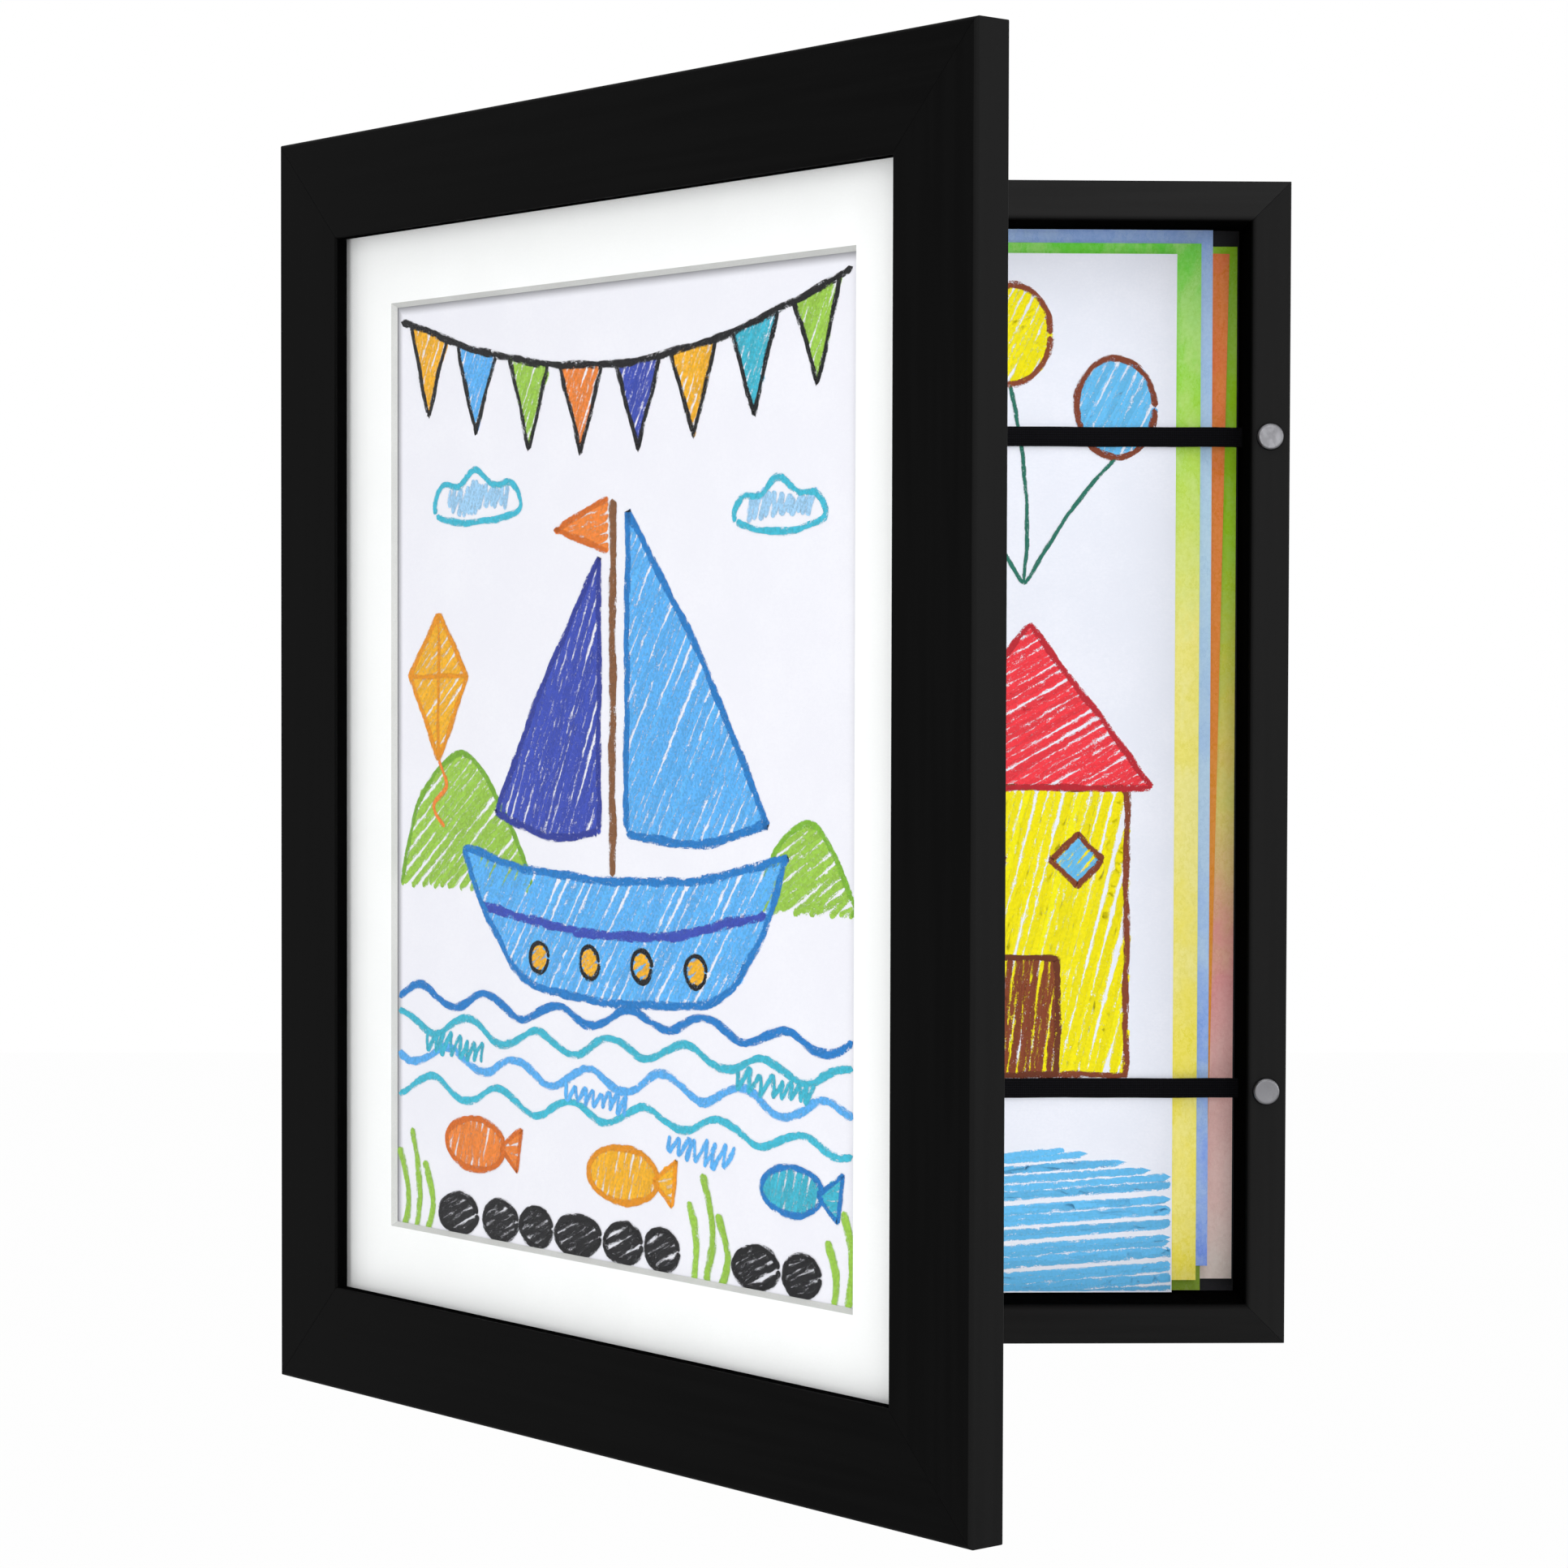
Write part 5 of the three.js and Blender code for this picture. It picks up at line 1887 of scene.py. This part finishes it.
@dataclass
class Hinges:
    """Two butt hinges: rolled leaves with five knuckles, their pins and countersunk screws."""

    sizes: FrameSizes
    height: float = 38.0
    reach: float = 13.0
    leaf: float = 1.0
    plate_low: float = 0.2
    barrel: float = 1.8
    bore: float = 1.0
    pin: float = 0.9
    knuckles: int = 5
    knuckle_gap: float = 0.2
    screw_x: float = 7.8
    screw_z: float = 12.0
    screw_head: float = 1.9
    screw_length: float = 7.0

    def knuckle_section(self) -> Array:
        """A rolled knuckle: the plate curls round the bore and ends short of its own underside.

        The outer arc has the barrel's radius and runs from the plate's upper face round to 350
        degrees. The inner one has the bore's radius and runs back to the plate's lower face.

        Returns:
            The closed outline in x and y, about the pin.
        """
        low, high = self.plate_low, self.plate_low + self.leaf
        outer = np.linspace(math.asin(high / self.barrel), math.radians(350), 44)
        inner = np.linspace(math.radians(350), math.asin(low / self.bore), 30)
        return np.concatenate([
            [[3.4, high]], self.barrel * np.stack([np.cos(outer), np.sin(outer)], 1),
            self.bore * np.stack([np.cos(inner), np.sin(inner)], 1), [[3.4, low]]])

    def leaf_patches(self, first: int) -> list[Patch]:
        """A leaf: its plate with countersunk holes, and every other knuckle.

        Args:
            first: the number of its first knuckle, 0 or 1.

        Returns:
            The closed surfaces, with the plate on the +y side of the pin.
        """
        half = self.height / 2
        loop = rounded_loop([(2.2, -half, 0.2), (self.reach, -half, 1.2), (self.reach, half, 1.2),
                             (2.2, half, 0.2)], 6)
        body = plate(loop, self.plate_low, self.plate_low + self.leaf, 0.12)
        sinks = []
        for end in (-1, 1):
            cone = revolve(np.array([[0, -1.0], [3.0, -1.0], [1.05, 1.0], [1.05, 2.4], [0, 2.4]]), 32)
            sinks.append(cone.put(self.screw_x, 0, end * self.screw_z))
        patches = [carve(body, sinks)]
        pitch = self.height / self.knuckles
        section = self.knuckle_section()
        small = inset_loop(section, 0.1)
        for index in range(first, self.knuckles, 2):
            low = -half + index * pitch + (self.knuckle_gap / 2 if index else 0)
            high = -half + (index + 1) * pitch - (self.knuckle_gap / 2 if index < self.knuckles - 1 else 0)
            rings = [np.column_stack([flat, np.full(len(flat), z)])
                     for flat, z in ((small, low), (section, low + 0.1),
                                     (section, high - 0.1), (small, high))]
            patches.append(loft(np.array(rings)))
        return patches

    def screw(self) -> Patch:
        """A countersunk screw with a cross recess, its head's face at y = 0 and its point at +y.

        Returns:
            The closed surface.
        """
        turns = np.linspace(0, 1, 25)
        thread = np.stack([1.0 - 0.14 * (np.arange(25) % 2), 1.2 + turns * (self.screw_length - 3.0)], 1)
        profile = np.concatenate([[[0, 0.02], [1.6, 0.0], [self.screw_head - 0.06, 0.03],
                                   [self.screw_head, 0.1], [1.0, 1.0]], thread,
                                  [[0.75, self.screw_length - 1.2], [0, self.screw_length]]])
        return carve(revolve(profile, 28), cross_recess(0.75))

    def pin_patch(self) -> Patch:
        """A hinge pin with a rounded head at its lower end.

        Returns:
            The closed surface, along z.
        """
        half = self.height / 2
        turned = revolve(np.array([
            [0, -half - 0.8], [1.2, -half - 0.78], [1.6, -half - 0.66], [1.8, -half - 0.45],
            [1.8, -half - 0.2], [1.7, -half - 0.1], [self.pin, -half - 0.1], [self.pin, half - 0.2],
            [0.7, half], [0, half]]), 40)
        return turned.moved(lambda p: np.stack([p[:, 0], -p[:, 2], p[:, 1]], 1))

    def build(self) -> None:
        """Builds and dresses both hinges."""
        flip = (1, -1, -1)
        leaves = {"box": self.leaf_patches(0),
                  "door": [patch.put(0, 0, 0, flip) for patch in self.leaf_patches(1)]}
        screw = self.screw()
        for label, end in (("upper", 1), ("lower", -1)):
            for owner, swung in (("box", False), ("door", True)):
                place = self.sizes.hinge_place(end, swung)
                make_piece(f"rolled_leaf_{owner}_{label}", leaves[owner], place, [ZINC], owner,
                           f"hinge_leaf_{owner}_{label}")
                for number in (1, 2):
                    up = (2 * number - 3) * self.screw_z
                    patch = (screw.put(self.screw_x, -0.3, up, flip) if swung
                             else screw.put(self.screw_x, 0.3, up))
                    make_piece(f"countersunk_screw_{owner}_{label}_{number}", [patch], place, [ZINC], owner,
                               f"hinge_screw_{owner}_{label}_{number}")
            make_piece("headed_pin_" + label, [self.pin_patch()], self.sizes.hinge_place(end, False),
                       [ZINC], "box", "hinge_pin_" + label)


@dataclass
class TurnButtons:
    """Four stamped turn buttons that keep the backing board in, each on a pan-head screw."""

    sizes: FrameSizes
    root: float = 2.6
    tip: float = 1.6
    reach: float = 9.0
    thickness: float = 0.8
    inset: float = 21.1
    spacing: float = 120.0
    head: float = 1.9
    cap: float = 0.9
    length: float = 7.0

    def button(self) -> Patch:
        """A button, round at its screw and at its tip. Straight tangents touch both circles at the
        angle acos((root - tip) / reach) from the x axis.

        Returns:
            The closed surface, from y = 0.1 back.
        """
        slope = math.acos((self.root - self.tip) / self.reach)
        wide = np.linspace(slope, 2 * math.pi - slope, 36)
        narrow = np.linspace(-slope, slope, 24)
        loop = np.concatenate([self.root * np.stack([np.cos(wide), np.sin(wide)], 1),
                               self.tip * np.stack([np.cos(narrow), np.sin(narrow)], 1) + [self.reach, 0]])
        return plate(loop, 0.1, 0.1 + self.thickness, 0.18)

    def screw(self) -> Patch:
        """A pan-head screw with a cross recess: its head is at +y and its point at -y.

        Returns:
            The closed surface.
        """
        seat = self.thickness + 0.2
        angle = np.linspace(0, math.pi / 2, 12)
        dome = np.stack([self.head * np.cos(angle), seat + 0.1 + (self.cap - 0.1) * np.sin(angle)], 1)
        profile = np.concatenate([[[0, -self.length], [0.7, -self.length + 1.3], [1.0, -self.length + 1.6],
                                   [1.0, seat], [self.head - 0.05, seat]], dome])
        profile[-1, 0] = 0
        wedges = [wedge.put(0, seat + self.cap, 0, (1, -1, 1)) for wedge in cross_recess(0.7)]
        return carve(revolve(profile, 32), wedges)

    def build(self) -> None:
        """Builds and dresses the buttons and their screws."""
        s = self.sizes
        button, screw = self.button(), self.screw()
        for column, across in (("hinge", -1), ("free", 1)):
            for row, up in (("upper", 1), ("lower", -1)):
                place = (across * (s.door_width / 2 - self.inset), s.door_thickness, up * self.spacing / 2,
                         (-across, 1, -across))
                make_piece(f"stamped_button_{column}_{row}", [button.put(*place)], s.door_place(), [ZINC],
                           f"button_{column}_{row}", f"turn_button_{column}_{row}")
                make_piece(f"pan_head_screw_{column}_{row}", [screw.put(*place)], s.door_place(), [ZINC],
                           "door", f"button_screw_{column}_{row}")


@dataclass
class Hangers:
    """Sawtooth hangers in pockets in the back edges, each held by two nails."""

    sizes: FrameSizes
    length: float = 44.0
    low: float = 2.4
    high: float = 12.4
    thickness: float = 1.0
    corner: float = 1.5
    teeth: int = 9
    tooth: float = 1.5
    front: float = 32.1
    nail_x: float = 4.7
    nail_z: float = 18.0
    nail_seat: float = 33.2

    def plate_patch(self) -> Patch:
        """A hanger, drawn on the left side: a plate whose inward edge is a row of teeth.

        Returns:
            The closed surface.
        """
        half = self.length / 2
        edge = np.linspace(-half + 2 * self.corner, half - 2 * self.corner, 2 * self.teeth + 1)
        depth = self.high - self.tooth * (np.arange(len(edge)) % 2)
        saw = [(x, z, 0.12) for x, z in zip(depth, edge)]
        loop = rounded_loop([(self.low, -half, self.corner), (self.high, -half, self.corner), *saw,
                             (self.high, half, self.corner), (self.low, half, self.corner)], 4)
        return plate(loop, self.front, self.front + self.thickness, 0.1)

    def nail(self) -> Patch:
        """Returns a nail with a low domed head at +y, its head's underside at y = 0."""
        return revolve(np.array([[0, -9.0], [0.3, -8.2], [0.7, -7.4], [0.7, 0.0], [1.4, 0.0], [1.5, 0.12],
                                 [1.45, 0.3], [1.1, 0.48], [0.6, 0.57], [0, 0.6]]), 32)

    def build(self) -> None:
        """Builds and dresses both hangers and their nails."""
        s = self.sizes
        for label, side in (("portrait", Side.TOP), ("landscape", Side.LEFT)):
            put = partial(side.place, width=s.box_width, height=s.box_height)
            make_piece("sawtooth_plate_" + label, [self.plate_patch().moved(put)], s.box_place(), [ZINC],
                       "box", "hanger_" + label)
            for number in (1, 2):
                nail = self.nail().put(self.nail_x, self.nail_seat, (2 * number - 3) * self.nail_z).moved(put)
                make_piece(f"domed_nail_{label}_{number}", [nail], s.box_place(), [ZINC], "box",
                           f"hanger_nail_{label}_{number}")


# ---- Studio ---------------------------------------------------------------------------------


@dataclass(frozen=True)
class Lamp:
    """A square soft lamp: its place and aim in metres, its side and its power in watts."""

    name: str
    place: tuple[float, float, float]
    aim: tuple[float, float, float]
    side: float
    power: float

    def build(self) -> None:
        """Adds the lamp, pointed at its aim."""
        data = bpy.data.lights.new(self.name, "AREA")
        data.shape, data.size, data.energy = "SQUARE", self.side, self.power
        item = add_object(self.name, data)
        item.location = self.place
        item.rotation_euler = (Vector(self.aim) - Vector(self.place)).to_track_quat("-Z", "Y").to_euler()


@dataclass
class Studio:
    """A plain white studio: a pale floor well below the frame, which hangs, and soft lamps."""

    floor_level: float = -0.6
    floor_size: float = 14.0
    floor_white: float = 0.97
    ambient: float = 0.66
    lamps: tuple[Lamp, ...] = (
        Lamp("left_lamp", (-2.0, -2.3, 2.2), (-0.02, -0.12, 0.17), 1.3, 5.0),
        Lamp("front_lamp", (0.35, -1.85, 0.4), (0.05, -0.05, 0.17), 0.7, 9.0),
        Lamp("right_lamp", (1.5, -0.8, 0.4), (0.05, -0.2, 0.17), 0.9, 10.5),
        Lamp("top_lamp", (-0.1, -0.9, 1.9), (-0.02, -0.12, 0.17), 1.0, 8.5),
        Lamp("low_lamp", (-1.3, -2.2, -0.15), (-0.02, -0.12, 0.1), 0.6, 9.0))

    def seen_directly(self, graph: Graph) -> Value:
        """Tells rays from the camera, from gloss and through glass from the others.

        Args:
            graph: the nodes.

        Returns:
            1 for those rays and 0 for the others.
        """
        path = graph.add("LightPath").outputs
        seen = [Value(graph, path[f"Is {name} Ray"]) for name in ("Camera", "Glossy", "Transmission")]
        return seen[0].math("MAXIMUM", seen[1]).math("MAXIMUM", seen[2])

    def build_world(self) -> None:
        """Makes a world that is white where it is seen and a plain soft light elsewhere."""
        world = bpy.data.worlds.new("studio_world")
        graph = blank_nodes(world)
        lit, white = (graph.value("Background", {"Color": "#ffffff", "Strength": strength})
                      for strength in (self.ambient, 1.0))
        graph.add("OutputWorld", {"Surface": graph.value(
            "MixShader", {0: self.seen_directly(graph), 1: lit, 2: white})})
        bpy.context.scene.world = world

    def build_floor(self) -> None:
        """Makes the floor, white where it is seen but for the shadow that falls on it."""
        mesh = bpy.data.meshes.new("floor")
        half = self.floor_size / 2
        mesh.from_pydata([(x * half, y * half, self.floor_level) for x, y in CORNERS], [], [(0, 1, 2, 3)])
        made = bpy.data.materials.new("pale_floor")
        graph = blank_nodes(made)
        matt = graph.value("BsdfDiffuse", {"Color": (0.9, 0.9, 0.9, 1.0)})
        glow = graph.value("Emission", {"Color": "#ffffff", "Strength": 1.0})
        graph.add("OutputMaterial", {"Surface": graph.value(
            "MixShader", {0: self.seen_directly(graph) * self.floor_white, 1: matt, 2: glow})})
        mesh.materials.append(made)
        add_object("floor", mesh)

    def build(self) -> None:
        """Builds the world, the floor and the lamps, and sets the plain view transform."""
        self.build_world()
        self.build_floor()
        for lamp in self.lamps:
            lamp.build()
        bpy.context.scene.view_settings.view_transform = "Standard"
        LOG.info("studio: %d lamps", len(self.lamps))


@dataclass
class PhotoCamera:
    """The camera at the photograph's viewing angle, as fitted to the corners of door and box."""

    image_pixels: float = 1932.0
    focal_pixels: float = 4780.86
    sensor: float = 36.0
    place: tuple[float, float, float] = (-0.042554, -1.198268, 0.198116)
    degrees: tuple[float, float, float] = (88.39898, -0.16037, -1.66695)

    def build(self) -> None:
        """Adds the camera and makes it the scene's."""
        data = bpy.data.cameras.new("photo_camera")
        data.sensor_fit, data.sensor_width = "HORIZONTAL", self.sensor
        data.lens = self.focal_pixels / self.image_pixels * self.sensor
        data.clip_end = 100.0
        item = add_object("photo_camera", data)
        item.location, item.rotation_euler = self.place, [math.radians(angle) for angle in self.degrees]
        bpy.context.scene.camera = item
        LOG.info("camera: lens %.2f mm", data.lens)


def main() -> None:
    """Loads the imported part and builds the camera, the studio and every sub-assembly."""
    logging.basicConfig(level=logging.INFO, format="%(message)s", stream=sys.stdout)
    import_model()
    sizes = FrameSizes()
    PhotoCamera().build()
    Studio().build()
    for assembly in (DoorMoulding(sizes), Glazing(sizes), StorageBox(sizes), StoredSheets(sizes),
                     Straps(sizes), Magnets(sizes), Hinges(sizes), TurnButtons(sizes), Hangers(sizes)):
        assembly.build()


if __name__ == "__main__":
    main()
